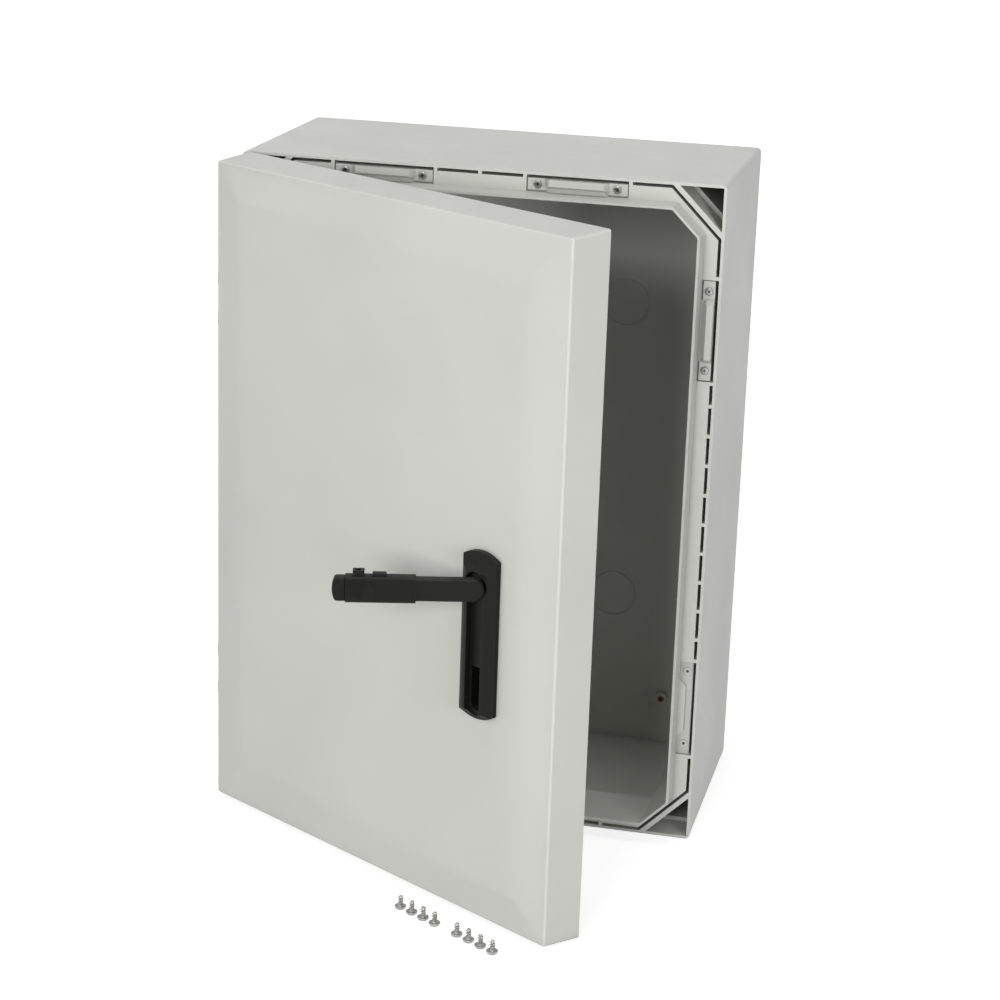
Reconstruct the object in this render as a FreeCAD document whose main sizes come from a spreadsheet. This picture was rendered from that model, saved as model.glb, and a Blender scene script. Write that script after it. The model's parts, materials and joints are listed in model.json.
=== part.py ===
import FreeCAD, Part
import math
import os
import Sketcher
from FreeCAD import Vector

# Polycarbonate wall enclosure with a swing-handle door, in millimetres.
# X points right, Z up and the door faces -Y. The origin is the centre of the rear face.
# "Forward" below is the distance from the rear face towards the door, so forward = -Y.

DRIVING_SIZES = {
    # box
    "body_width": 500, "body_height": 700, "body_depth": 250,
    "wall": 3.0, "rear_wall": 4.0, "cavity_wall": 3.4, "cavity_draft": 0.45,
    "corner_radius": 5, "rear_edge_radius": 4,
    # front frame: collar, shoulder, drain slot and corner tunnels
    "frame_depth": 45, "opening_margin": 23, "opening_chamfer": 26.6,
    "collar_height": 26, "collar_base": 3.4, "collar_draft": 1.8,
    "step_depth": 2, "step_relief": 0.8,
    "slot_width": 3.2, "slot_chamfer": 50.8, "slot_depth": 28,
    "rib_width": 3.6, "rib_pitch": 31.3, "rib_root": 0.3,
    "tunnel_leg": 43.9, "tunnel_mouth_depth": 38, "tunnel_ledge": 4,
    "wall_hole_inset": 16, "wall_hole_radius": 4.1,
    # seats for strikers and hinges
    "seat_offset_top": 100, "seat_offset_side": 202.5, "seat_length": 104, "seat_width": 13.4,
    "seat_depth": 4.5, "seat_middle": 50, "seat_middle_width": 6.5,
    "boss_height": 1.0, "boss_radius": 4.2, "seat_screw_pitch": 81, "seat_hole_radius": 1.5,
    "seat_hole_depth": 12,
    # rear wall details
    "knockout_x": 112, "knockout_z": 170, "knockout_radius": 26.5, "groove_width": 1.5,
    "groove_depth": 1.0, "pillar_x": 175, "pillar_z": 290, "pillar_radius": 7, "pillar_height": 8,
    "insert_radius": 4, "insert_bore": 2.5, "insert_length": 9,
    "lug_length": 30, "lug_reach": 16, "lug_thickness": 3, "lug_round": 9,
    "lug_hole_radius": 2.2, "lug_hole_inset": 7.5,
    # striker plates
    "plate_length": 102, "plate_width": 12, "plate_thickness": 2.5, "plate_hole_radius": 2.2,
    "bar_length": 66, "bar_width": 8.2, "bar_thickness": 4, "bar_gap": 4, "bar_ramp": 5,
    "bar_bevel": 1.6, "pan_head_radius": 4.1, "pan_head_height": 2.2, "seat_screw_length": 12,
    # hinge
    "hinge_inset": 6, "hinge_stand_off": 13.5, "eye_radius": 4.5, "eye_length": 28,
    "pin_radius": 2.0, "pin_clearance": 0.05, "knuckle_radius": 4.3, "knuckle_length": 12.2,
    "knuckle_gap": 0.8, "notch_depth": 18.5, "sink_radius": 4.0, "sink_depth": 1.3,
    "open_angle": 31.2,
    # door
    "door_gap": 2, "door_margin": 0.5, "skirt_depth": 45, "skirt_draft": 5.08, "skirt_inset": 4,
    "skirt_wall": 3.0, "door_skin": 3.2, "bevel_width": 47.5, "bevel_rise": 5.5,
    "door_corner_radius": 2.5, "bevel_blend": 90, "post_radius": 5, "post_hole_radius": 1.4, "post_hole_depth": 10,
    "liner_thickness": 2.5, "liner_gap": 3, "liner_margin": 19.8, "gasket_width": 5.6,
    "gasket_seam": 0.2, "lip_clearance": 0.3, "gasket_draft": 12,
    # lock rods and hooks
    "rod_width": 16, "rod_thickness": 3, "rod_gap": 2, "follower_radius": 2.0,
    "follower_length": 5, "rod_travel": 3.0, "hook_sheet": 1.5, "hook_width": 30,
    "hook_clear": 0.5, "tongue_thickness": 1.8, "tongue_length": 2.8, "tongue_lift": 0.4,
    "hook_flange": 22, "rivet_radius": 2.0, "rivet_height": 1.2,
    "guide_width": 26, "guide_height": 12, "guide_ear": 9, "guide_ear_thickness": 4,
    "guide_clearance": 0.3, "guide_back": 1.3,
    # cam and spindle
    "cam_radius": 28.5, "cam_thickness": 4, "cam_gap": 1.5, "long_arm": 21, "short_arm": 10.5,
    "slot_clearance": 0.12, "square_side": 8, "square_clearance": 0.05,
    "spindle_radius": 6, "bush_radius": 9.5, "bush_flange_radius": 13, "bush_flange": 6.3,
    "washer_radius": 7.5, "washer_thickness": 1.2, "cam_screw_radius": 4.5, "cam_screw_head": 2.6,
    "fit_clearance": 0.1,
    # handle
    "handle_x": 154.5, "handle_z": 0.5, "plate_seal": 1.0,
    "escutcheon_width": 45, "escutcheon_up": 27.5, "escutcheon_down": 127.5,
    "escutcheon_arch": 6.5, "escutcheon_rise": 11, "escutcheon_edge": 4, "crest_half": 10,
    "channel_width": 20, "channel_floor": 4, "channel_top": 20, "channel_bottom": 121,
    "channel_slope": 20, "hub_radius": 15, "hub_floor": 2.4, "window_width": 15,
    "window_top": 82, "window_bottom": 126.5, "cup_wall": 2, "cup_depth": 12,
    "yoke_radius": 14.4, "yoke_thickness": 2, "tongue_half": 5.5, "yoke_tongue": 7,
    "lever_pin_height": 14.5, "lever_pin_radius": 2.0,
    # lever and grip
    "lever_half_width": 11.5, "lever_thickness": 13, "lever_underside": 2.2, "lever_round": 4.5,
    "lever_slot": 7.6, "lever_slot_top": 6.2, "sleeve_start": 53, "sleeve_end": 119,
    "cap_end": 131.5, "sleeve_half_width": 13, "sleeve_thickness": 16, "sleeve_underside": 3.2,
    "tenon_half_width": 8, "tenon_thickness": 8, "tenon_length": 30, "cap_inset": 1.2,
    "grip_grooves": 9, "groove_pitch": 2.8, "grip_groove": 1.1, "lift_angle": 47,
    "catch_start": 99, "catch_end": 111, "catch_half_width": 4.5, "catch_drop": 9.5,
    "lug_start": 101, "lug_end": 112, "lug_rise": 5.5, "lug_half_depth": 4, "lug_hole": 2.3,
    "slider_start": 80, "slider_end": 94, "slider_rise": 2.6, "slider_half_depth": 4.5,
    # loose fixing screws that stand on their heads
    "screw_head_radius": 5.6, "screw_flange": 0.9, "screw_dome": 2.4, "screw_shank_radius": 2.1,
    "screw_length": 14.2, "screw_pitch": 16.2, "screw_group_gap": 31, "screw_row_start": 335.5,
    "screw_row_distance": 84,
}

doc = FreeCAD.newDocument("enclosure")
sheet = doc.addObject("Spreadsheet::Sheet", "Sheet")
for row, (alias, number) in enumerate(DRIVING_SIZES.items(), start=1):
    sheet.set("A%d" % row, alias)
    sheet.set("B%d" % row, str(number))
    sheet.setAlias("B%d" % row, alias)
doc.recompute()


class Size:
    """A length together with the sheet expression that it comes from."""

    def __init__(self, value, text):
        self.value = float(value)
        self.text = text

    def combine(self, other, sign, value):
        return Size(value, "(%s %s %s)" % (self.text, sign, other.text))

    def __add__(self, other):
        other = as_size(other)
        return self.combine(other, "+", self.value + other.value)

    def __sub__(self, other):
        other = as_size(other)
        return self.combine(other, "-", self.value - other.value)

    def __mul__(self, other):
        other = as_size(other)
        return self.combine(other, "*", self.value * other.value)

    def __truediv__(self, other):
        other = as_size(other)
        return self.combine(other, "/", self.value / other.value)

    def __neg__(self):
        return Size(-self.value, "(0 - %s)" % self.text)

    def __radd__(self, other):
        return as_size(other) + self

    def __rsub__(self, other):
        return as_size(other) - self

    def __rmul__(self, other):
        return as_size(other) * self


def as_size(number):
    if isinstance(number, Size):
        return number
    return Size(number, "%.6f" % number)


def size(alias):
    return Size(sheet.get(alias), "Sheet.%s" % alias)


ZERO = as_size(0)
SIDE_GROWTH = 2 - math.sqrt(2)
DIAGONAL = math.sqrt(2)

# Places that several pieces share

half_width = size("body_width") / 2
half_height = size("body_height") / 2
front = size("body_depth")
opening_x = half_width - size("opening_margin")
opening_z = half_height - size("opening_margin")
slot_outer_x = half_width - size("wall")
slot_outer_z = half_height - size("wall")
slot_inner_x = slot_outer_x - size("slot_width")
slot_inner_z = slot_outer_z - size("slot_width")
seat_floor = front - size("seat_depth")
plate_back = seat_floor + size("boss_height")
plate_front = plate_back + size("plate_thickness")
collar_front = front + size("collar_height")
rim = front + size("door_gap")
ridge = rim + size("skirt_depth")
door_face = ridge + size("bevel_rise")
skin_inside = door_face - size("door_skin")
door_half_x = half_width - size("door_margin")
door_half_z = half_height - size("door_margin")
gasket_back = collar_front + size("lip_clearance")
liner_back = collar_front + size("liner_gap")
liner_front = liner_back + size("liner_thickness")
rod_back = liner_front + size("rod_gap")
rod_front = rod_back + size("rod_thickness")
cam_back = rod_front + size("cam_gap")
cam_front = cam_back + size("cam_thickness")
hinge_x = size("hinge_inset") - half_width
hinge_forward = front + size("hinge_stand_off")
bore_radius = size("pin_radius") + size("pin_clearance")
hub_x = size("handle_x")
hub_z = size("handle_z")
escutcheon_back = door_face + size("plate_seal")
crest = escutcheon_back + size("escutcheon_rise")
hub_floor = escutcheon_back + size("hub_floor")
yoke_back = hub_floor + size("fit_clearance") * 3
yoke_front = yoke_back + size("yoke_thickness")
pin_forward = escutcheon_back + size("lever_pin_height")
lever_back = pin_forward - size("lever_underside")
lever_front = lever_back + size("lever_thickness")
sleeve_back = pin_forward - size("sleeve_underside")
sleeve_front = sleeve_back + size("sleeve_thickness")
seat_line_inset = size("wall") + size("slot_width") + size("plate_width") / 2


# Sketches and features

def new_body(label):
    body = doc.addObject("PartDesign::Body", label)
    body.Label = label
    return body


def add_sketch(body, name, role, offset=ZERO):
    """A sketch on one of the body's own origin planes, moved along the plane's normal."""
    sketch = body.newObject("Sketcher::SketchObject", "%s_%s" % (body.Label, name))
    origin_plane = [item for item in body.Origin.OriginFeatures if item.Role == role][0]
    sketch.AttachmentSupport = [(origin_plane, "")]
    sketch.MapMode = "FlatFace"
    sketch.AttachmentOffset = FreeCAD.Placement(Vector(0, 0, offset.value), FreeCAD.Rotation())
    sketch.setExpression("AttachmentOffset.Base.z", offset.text)
    return sketch


def front_sketch(body, name, forward=ZERO):
    """Sketch axes are X and Z, and its normal points forward."""
    return add_sketch(body, name, "XZ_Plane", forward)


def plan_sketch(body, name, height=ZERO):
    """Sketch axes are X and Y, and its normal points up."""
    return add_sketch(body, name, "XY_Plane", height)


def side_sketch(body, name, across=ZERO):
    """Sketch axes are Y and Z, and its normal points right."""
    return add_sketch(body, name, "YZ_Plane", across)


def bind(sketch, kind, *arguments):
    """Add a constraint whose last argument is a Size, bound to its expression."""
    target = arguments[-1]
    index = sketch.addConstraint(Sketcher.Constraint(kind, *arguments[:-1], target.value))
    sketch.setExpression("Constraints[%d]" % index, target.text)


def fix_point(sketch, geometry, end, point):
    across, along = (as_size(value) for value in point)
    bind(sketch, "DistanceX", -1, 1, geometry, end, across)
    bind(sketch, "DistanceY", -1, 1, geometry, end, along)


def arc_centre(start, end, radius):
    """Centre of the arc that runs anticlockwise from start to end on the given radius."""
    middle = (start + end) / 2
    half = (end - start) / 2
    reach = math.sqrt(max(radius * radius - half.Length * half.Length, 0))
    side = Vector(-half.y, half.x, 0)
    side.normalize()
    return middle + side * reach


def flat_point(point):
    across, along = (as_size(value) for value in point)
    return Vector(across.value, along.value, 0)


def outline(sketch, points, arcs=None):
    """Closed outline through points; arcs maps a side's number to its radius.

    A positive radius turns anticlockwise, a negative one clockwise, both under half a turn."""
    arcs = arcs or {}
    count = len(points)
    sides = []
    for number in range(count):
        start = flat_point(points[number])
        end = flat_point(points[(number + 1) % count])
        if number not in arcs:
            sides.append((sketch.addGeometry(Part.LineSegment(start, end), False), 1, 2))
            continue
        radius = as_size(arcs[number])
        turns_left = radius.value > 0
        first, last = (start, end) if turns_left else (end, start)
        centre = arc_centre(first, last, abs(radius.value))
        begin = math.atan2(first.y - centre.y, first.x - centre.x)
        finish = math.atan2(last.y - centre.y, last.x - centre.x)
        if finish < begin:
            finish += 2 * math.pi
        circle = Part.Circle(centre, Vector(0, 0, 1), abs(radius.value))
        index = sketch.addGeometry(Part.ArcOfCircle(circle, begin, finish), False)
        bind(sketch, "Radius", index, radius if turns_left else -radius)
        sides.append((index, 1, 2) if turns_left else (index, 2, 1))
    for number in range(count):
        index, _, end = sides[number]
        following, begin, _ = sides[(number + 1) % count]
        sketch.addConstraint(Sketcher.Constraint("Coincident", index, end, following, begin))
        fix_point(sketch, following, begin, points[(number + 1) % count])


def circle(sketch, centre, radius):
    middle = flat_point(centre)
    index = sketch.addGeometry(Part.Circle(middle, Vector(0, 0, 1), radius.value), False)
    bind(sketch, "Radius", index, radius)
    fix_point(sketch, index, 3, centre)


def rectangle(sketch, left, bottom, right, top):
    outline(sketch, [(left, bottom), (right, bottom), (right, top), (left, top)])


def rounded_rectangle(sketch, half_x, half_z, radius):
    points = [
        (-half_x + radius, -half_z), (half_x - radius, -half_z),
        (half_x, -half_z + radius), (half_x, half_z - radius),
        (half_x - radius, half_z), (-half_x + radius, half_z),
        (-half_x, half_z - radius), (-half_x, -half_z + radius),
    ]
    outline(sketch, points, {1: radius, 3: radius, 5: radius, 7: radius})


def octagon(sketch, half_x, half_z, leg):
    """Rectangle about the origin with its corners cut at 45 degrees."""
    outline(sketch, [
        (-half_x + leg, -half_z), (half_x - leg, -half_z),
        (half_x, -half_z + leg), (half_x, half_z - leg),
        (half_x - leg, half_z), (-half_x + leg, half_z),
        (-half_x, half_z - leg), (-half_x, -half_z + leg),
    ])


def add_feature(body, kind, sketch, length, backward, taper, both_ways):
    feature = body.newObject("PartDesign::%s" % kind, "%s_%s" % (sketch.Name, kind.lower()))
    feature.Profile = sketch
    feature.Length = length.value
    feature.setExpression("Length", length.text)
    feature.Reversed = backward
    if both_ways:
        feature.SideType = "Symmetric"
    if taper is not None:
        feature.TaperAngle = taper.value
        feature.setExpression("TaperAngle", taper.text)
    sketch.Visibility = False
    return feature


def pad(body, sketch, length, backward=False, taper=None, both_ways=False):
    return add_feature(body, "Pad", sketch, as_size(length), backward, taper, both_ways)


def pocket(body, sketch, length, along_normal=False, taper=None, both_ways=False):
    return add_feature(body, "Pocket", sketch, as_size(length), along_normal, taper, both_ways)


def loft(body, kind, first, second):
    feature = body.newObject("PartDesign::%s" % kind, "%s_loft" % first.Name)
    feature.Profile = first
    feature.Sections = [second]
    feature.Ruled = True
    return feature


def round_edges(body, radius, wanted):
    """Fillet the edges of the body's last feature whose two ends and middle pass a test."""
    doc.recompute()
    base = body.Tip
    names = []
    for number, edge in enumerate(base.Shape.Edges, start=1):
        if wanted(edge):
            names.append("Edge%d" % number)
    feature = body.newObject("PartDesign::Fillet", "%s_fillet" % base.Name)
    feature.Base = (base, names)
    feature.Radius = radius.value
    feature.setExpression("Radius", radius.text)
    return feature


def near(value, target, slack=0.01):
    return abs(value - as_size(target).value) < slack


# Placements of the pieces that move

def turn_about(point, axis, degrees):
    return FreeCAD.Placement(Vector(0, 0, 0), FreeCAD.Rotation(axis, degrees), point)


hinge_line = Vector(hinge_x.value, -hinge_forward.value, 0)
door_place = turn_about(hinge_line, Vector(0, 0, 1), -size("open_angle").value)
hub_line = Vector(hub_x.value, 0, hub_z.value)
spindle_place = door_place.multiply(turn_about(hub_line, Vector(0, 1, 0), 90))
lever_line = Vector(hub_x.value, -pin_forward.value, hub_z.value)
lever_turn = turn_about(lever_line, Vector(1, 0, 0), -size("lift_angle").value)
lever_place = spindle_place.multiply(lever_turn)


# The box

def side_points(side, points):
    """Turn points given as (along, outward) on the top side to the named side."""
    turned = []
    for along, outward in points:
        along, outward = as_size(along), as_size(outward)
        turned.append({
            "top": (along, outward), "bottom": (-along, -outward),
            "right": (outward, -along), "left": (-outward, along),
        }[side])
    return turned


def seat_list():
    """Every seat as (side, distance along the side, outer edge of the plates' shoulder)."""
    seats = []
    for side, offset, edge in (
        ("top", size("seat_offset_top"), slot_inner_z),
        ("bottom", size("seat_offset_top"), slot_inner_z),
        ("right", size("seat_offset_side"), slot_inner_x),
        ("left", size("seat_offset_side"), slot_inner_x),
    ):
        seats.append((side, offset, edge))
        seats.append((side, -offset, edge))
    return seats


def cut_seats(body):
    recess = front_sketch(body, "seats", front)
    bosses = front_sketch(body, "seat_bosses", seat_floor)
    holes = front_sketch(body, "seat_holes", plate_back)
    half_seat = size("seat_length") / 2
    half_middle = size("seat_middle") / 2
    for side, offset, edge in seat_list():
        inner = edge - size("seat_width")
        waist = edge - size("seat_middle_width")
        half_foot = half_middle + size("seat_width") - size("seat_middle_width")
        outline(recess, side_points(side, [
            (offset - half_seat, inner), (offset - half_foot, inner),
            (offset - half_middle, waist), (offset + half_middle, waist),
            (offset + half_foot, inner), (offset + half_seat, inner),
            (offset + half_seat, edge), (offset - half_seat, edge),
        ]))
        line = edge - size("plate_width") / 2
        for half_pitch in (-size("seat_screw_pitch") / 2, size("seat_screw_pitch") / 2):
            place = side_points(side, [(offset + half_pitch, line)])[0]
            circle(bosses, place, size("boss_radius"))
            circle(holes, place, size("seat_hole_radius"))
    pocket(body, recess, size("seat_depth"))
    pad(body, bosses, size("boss_height"))
    pocket(body, holes, size("seat_hole_depth"))


def add_ribs(body):
    """Short webs that tie the outer skin to the frame across the drain slot."""
    half_rib = size("rib_width") / 2
    pitch = size("rib_pitch")
    half_seat = size("seat_length") / 2 + half_rib
    seat_top = size("seat_offset_top")
    seat_side = size("seat_offset_side")
    top_places = [ZERO, seat_top - half_seat, seat_top + half_seat]
    side_places = [ZERO, pitch, pitch * 2, pitch * 3, pitch * 4]
    side_places += [seat_side - half_seat, seat_side + half_seat]
    for side, places, inner, outer in (
        ("top", top_places, slot_inner_z, slot_outer_z),
        ("bottom", top_places, slot_inner_z, slot_outer_z),
        ("right", side_places, slot_inner_x, slot_outer_x),
        ("left", side_places, slot_inner_x, slot_outer_x),
    ):
        sketch = front_sketch(body, "ribs_%s" % side, front)
        low = inner - size("rib_root")
        high = outer + size("rib_root")
        for number, place in enumerate(places):
            for middle in ([place] if number == 0 else [place, -place]):
                outline(sketch, side_points(side, [
                    (middle - half_rib, low), (middle + half_rib, low),
                    (middle + half_rib, high), (middle - half_rib, high),
                ]))
        pad(body, sketch, size("slot_depth"), backward=True)


def corner_signs():
    return [(right, up) for right in (1, -1) for up in (1, -1)]


def make_base():
    body = new_body("enclosure_base")
    shell = front_sketch(body, "shell", front)
    rounded_rectangle(shell, half_width, half_height, size("corner_radius"))
    pad(body, shell, front, backward=True)
    round_edges(body, size("rear_edge_radius"), lambda edge: near(edge.BoundBox.YMin, ZERO))

    collar = front_sketch(body, "collar", front)
    growth = size("collar_base")
    octagon(collar, opening_x + growth, opening_z + growth,
            size("opening_chamfer") + growth * SIDE_GROWTH)
    pad(body, collar, size("collar_height"), taper=-size("collar_draft"))

    cavity_start = front - size("frame_depth")
    cavity = front_sketch(body, "cavity", cavity_start)
    octagon(cavity, half_width - size("cavity_wall"), half_height - size("cavity_wall"),
            size("slot_chamfer"))
    pocket(body, cavity, cavity_start - size("rear_wall"), taper=-size("cavity_draft"))

    opening = front_sketch(body, "opening", collar_front)
    octagon(opening, opening_x, opening_z, size("opening_chamfer"))
    pocket(body, opening, size("collar_height") + size("frame_depth"))
    step = front_sketch(body, "step", front - size("step_depth"))
    relief = size("step_relief")
    octagon(step, opening_x + relief, opening_z + relief,
            size("opening_chamfer") + relief * SIDE_GROWTH)
    pocket(body, step, size("frame_depth") - size("step_depth"))

    slot = front_sketch(body, "slot", front)
    octagon(slot, slot_outer_x, slot_outer_z, size("slot_chamfer"))
    octagon(slot, slot_inner_x, slot_inner_z,
            size("slot_chamfer") - size("slot_width") * SIDE_GROWTH)
    pocket(body, slot, size("slot_depth"))
    add_ribs(body)

    mouth = front_sketch(body, "tunnel_mouths", front)
    depth_start = front - size("tunnel_mouth_depth")
    tunnel = front_sketch(body, "tunnels", depth_start)
    holes = front_sketch(body, "wall_holes", size("rear_wall"))
    ledge = size("tunnel_ledge")
    for right, up in corner_signs():
        for sketch, inset, leg in (
            (mouth, ZERO, size("tunnel_leg")),
            (tunnel, ledge, size("tunnel_leg") - ledge * (2 + DIAGONAL)),
        ):
            corner_x = (slot_outer_x - inset) * right
            corner_z = (slot_outer_z - inset) * up
            outline(sketch, [
                (corner_x, corner_z), (corner_x - leg * right, corner_z),
                (corner_x, corner_z - leg * up),
            ])
        circle(holes, ((half_width - size("wall_hole_inset")) * right,
                       (half_height - size("wall_hole_inset")) * up), size("wall_hole_radius"))
    pocket(body, mouth, size("tunnel_mouth_depth"))
    pocket(body, tunnel, depth_start - size("rear_wall"))
    pocket(body, holes, size("rear_wall") * 2)

    cut_seats(body)
    add_rear_wall_details(body)
    add_corner_lugs(body, cavity_start)
    return body


def add_rear_wall_details(body):
    pillars = front_sketch(body, "pillars", size("rear_wall"))
    bores = front_sketch(body, "pillar_bores", size("rear_wall") + size("pillar_height"))
    rings = front_sketch(body, "knockouts", size("rear_wall"))
    for right, up in corner_signs():
        place = (size("pillar_x") * right, size("pillar_z") * up)
        circle(pillars, place, size("pillar_radius"))
        circle(bores, place, size("insert_radius") + size("fit_clearance"))
        centre = (size("knockout_x") * right, size("knockout_z") * up)
        circle(rings, centre, size("knockout_radius"))
        circle(rings, centre, size("knockout_radius") - size("groove_width"))
    pad(body, pillars, size("pillar_height"))
    pocket(body, bores, size("insert_length"))
    pocket(body, rings, size("groove_depth"))


def add_corner_lugs(body, frame_back):
    """Flat ears behind the frame's cut corners, for an inner door or blanking panel."""
    sketch = front_sketch(body, "lugs", frame_back)
    middle_x = opening_x - size("opening_chamfer") / 2
    middle_z = opening_z - size("opening_chamfer") / 2
    run = size("lug_length") / (2 * DIAGONAL)
    rise = size("lug_thickness") / DIAGONAL
    relief = size("step_relief") / DIAGONAL
    for right, up in corner_signs():
        points = []
        for along, outward in ((-run, relief), (run, relief), (run, relief + rise),
                               (-run, relief + rise)):
            points.append(((middle_x + outward + along) * right, (middle_z + outward - along) * up))
        outline(sketch, points)
    pad(body, sketch, size("lug_reach"), backward=True)
    lug_back = -(frame_back - size("lug_reach")).value
    frame_line = -frame_back.value

    def lug_corner(edge):
        box = edge.BoundBox
        diagonal = abs(box.XLength - box.ZLength) < 0.01 and box.XLength > 1
        return near(box.YMin, lug_back) and diagonal and box.XLength < rise.value + 0.5

    def lug_end(edge):
        box = edge.BoundBox
        short = near(box.XLength, rise, 0.05) and near(box.ZLength, rise, 0.05)
        return short and near(box.YMin, lug_back) and box.YMax < frame_line + 100

    round_edges(body, size("lug_round"), lambda edge: lug_corner(edge) and lug_end(edge))
    for right, up in corner_signs():
        hole = body.newObject("PartDesign::SubtractiveCylinder", "lug_hole_%d_%d" % (right, up))
        hole.setExpression("Radius", size("lug_hole_radius").text)
        hole.setExpression("Height", (size("lug_thickness") * 6).text)
        diagonal = Vector(right, 0, up)
        diagonal.normalize()
        middle = Vector(middle_x.value * right, lug_back + size("lug_hole_inset").value,
                        middle_z.value * up)
        start = middle - diagonal * size("lug_thickness").value * 3
        hole.Placement = FreeCAD.Placement(start, FreeCAD.Rotation(Vector(0, 0, 1), diagonal))


# Strikers and their screws

STRIKER_SEATS = {
    "striker_top_left": ("top", -1), "striker_top_right": ("top", 1),
    "striker_bottom_left": ("bottom", 1), "striker_bottom_right": ("bottom", -1),
    "striker_right_upper": ("right", -1),
}
SIDE_TURN = {"top": 0, "right": 90, "bottom": 180, "left": 270}


def seat_place(side, way):
    """Placement that carries a piece from the canonical top seat at X = 0 to a real seat."""
    if side in ("top", "bottom"):
        outward = half_height - seat_line_inset
        offset = size("seat_offset_top") * way
    else:
        outward = half_width - seat_line_inset
        offset = size("seat_offset_side") * way
    turn = FreeCAD.Rotation(Vector(0, 1, 0), SIDE_TURN[side])
    shift = turn.multVec(Vector(offset.value, 0, outward.value))
    return FreeCAD.Placement(shift, turn)


def make_striker(label):
    """Screwed strip with a raised bar; a hook reaches under the bar from the collar's side."""
    body = new_body(label)
    half_plate = size("plate_length") / 2
    half_across = size("plate_width") / 2
    half_middle = size("seat_middle") / 2 + size("fit_clearance")
    bar_inner = half_across - size("bar_width")
    waist = half_across - size("seat_middle_width") + size("fit_clearance")
    strip = front_sketch(body, "strip", plate_back)
    half_foot = half_middle + waist + half_across
    outline(strip, [
        (-half_plate, -half_across), (-half_foot, -half_across), (-half_middle, waist),
        (half_middle, waist), (half_foot, -half_across), (half_plate, -half_across),
        (half_plate, half_across), (-half_plate, half_across),
    ])
    pad(body, strip, size("plate_thickness"))
    bridge = plan_sketch(body, "bridge", bar_inner)
    half_bar = size("bar_length") / 2
    ramp = size("bar_ramp")
    thick = size("bar_thickness")
    low = plate_front - size("fit_clearance")
    under = plate_front + size("bar_gap")
    outline(bridge, [
        (-half_bar, -low), (-half_bar + ramp, -(under + thick)),
        (half_bar - ramp, -(under + thick)), (half_bar, -low),
        (half_bar - thick, -low), (half_bar - thick - ramp / 2, -under),
        (-half_bar + thick + ramp / 2, -under), (-half_bar + thick, -low),
    ])
    pad(body, bridge, size("bar_width"))
    holes = front_sketch(body, "holes", plate_front)
    for way in (-1, 1):
        circle(holes, (size("seat_screw_pitch") / 2 * way, ZERO), size("plate_hole_radius"))
    pocket(body, holes, size("plate_thickness") * 2)
    bevel = body.newObject("PartDesign::Chamfer", "%s_bevel" % label)
    doc.recompute()
    top = -(under + thick).value
    names = []
    for number, edge in enumerate(bevel_base(body).Shape.Edges, start=1):
        box = edge.BoundBox
        if near(box.YMin, top) and near(box.YMax, top) and near(box.ZMax, bar_inner):
            names.append("Edge%d" % number)
    bevel.Base = (bevel_base(body), names)
    bevel.Size = size("bar_bevel").value
    bevel.setExpression("Size", size("bar_bevel").text)
    body.Placement = seat_place(*STRIKER_SEATS[label])
    return body


def bevel_base(body):
    """The feature just under the body's newest one."""
    return body.Group[-2]


def turned_solid(profile, place):
    """Solid of revolution about Y from (radius, forward) points, set at an (x, z) place."""
    points = [Vector(radius, -forward, 0) for radius, forward in profile]
    wire = Part.makePolygon(points + points[:1])
    solid = Part.Face(wire).revolve(Vector(0, 0, 0), Vector(0, 1, 0), 360)
    solid.translate(Vector(place[0], 0, place[1]))
    return solid


def plain_feature(label, shape, placement=FreeCAD.Placement()):
    feature = doc.addObject("Part::Feature", label)
    feature.Label = label
    own_place = shape.Placement
    feature.Shape = shape
    feature.Placement = placement.multiply(own_place)
    return feature


def pan_screw(place, seat, length, shank):
    """Pan-head screw whose head rests on a face and whose shank points backwards."""
    head = size("pan_head_radius").value
    height = size("pan_head_height").value
    recess = height * 0.45
    return turned_solid([
        (0, seat - length), (shank, seat - length), (shank, seat), (head, seat),
        (head, seat + height * 0.5), (head * 0.62, seat + height),
        (head * 0.3, seat + height), (0, seat + height - recess),
    ], place)


def make_striker_screws():
    screws = []
    seat = plate_front.value
    shank = size("seat_hole_radius").value - size("fit_clearance").value
    for side, way in STRIKER_SEATS.values():
        place = seat_place(side, way)
        for half_pitch in (-0.5, 0.5):
            along = size("seat_screw_pitch").value * half_pitch
            screw = pan_screw((along, 0), seat, size("seat_screw_length").value, shank)
            screw.Placement = place.multiply(screw.Placement)
            screws.append(screw)
    return plain_feature("striker_screws", Part.makeCompound(screws))


# Hinges

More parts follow.
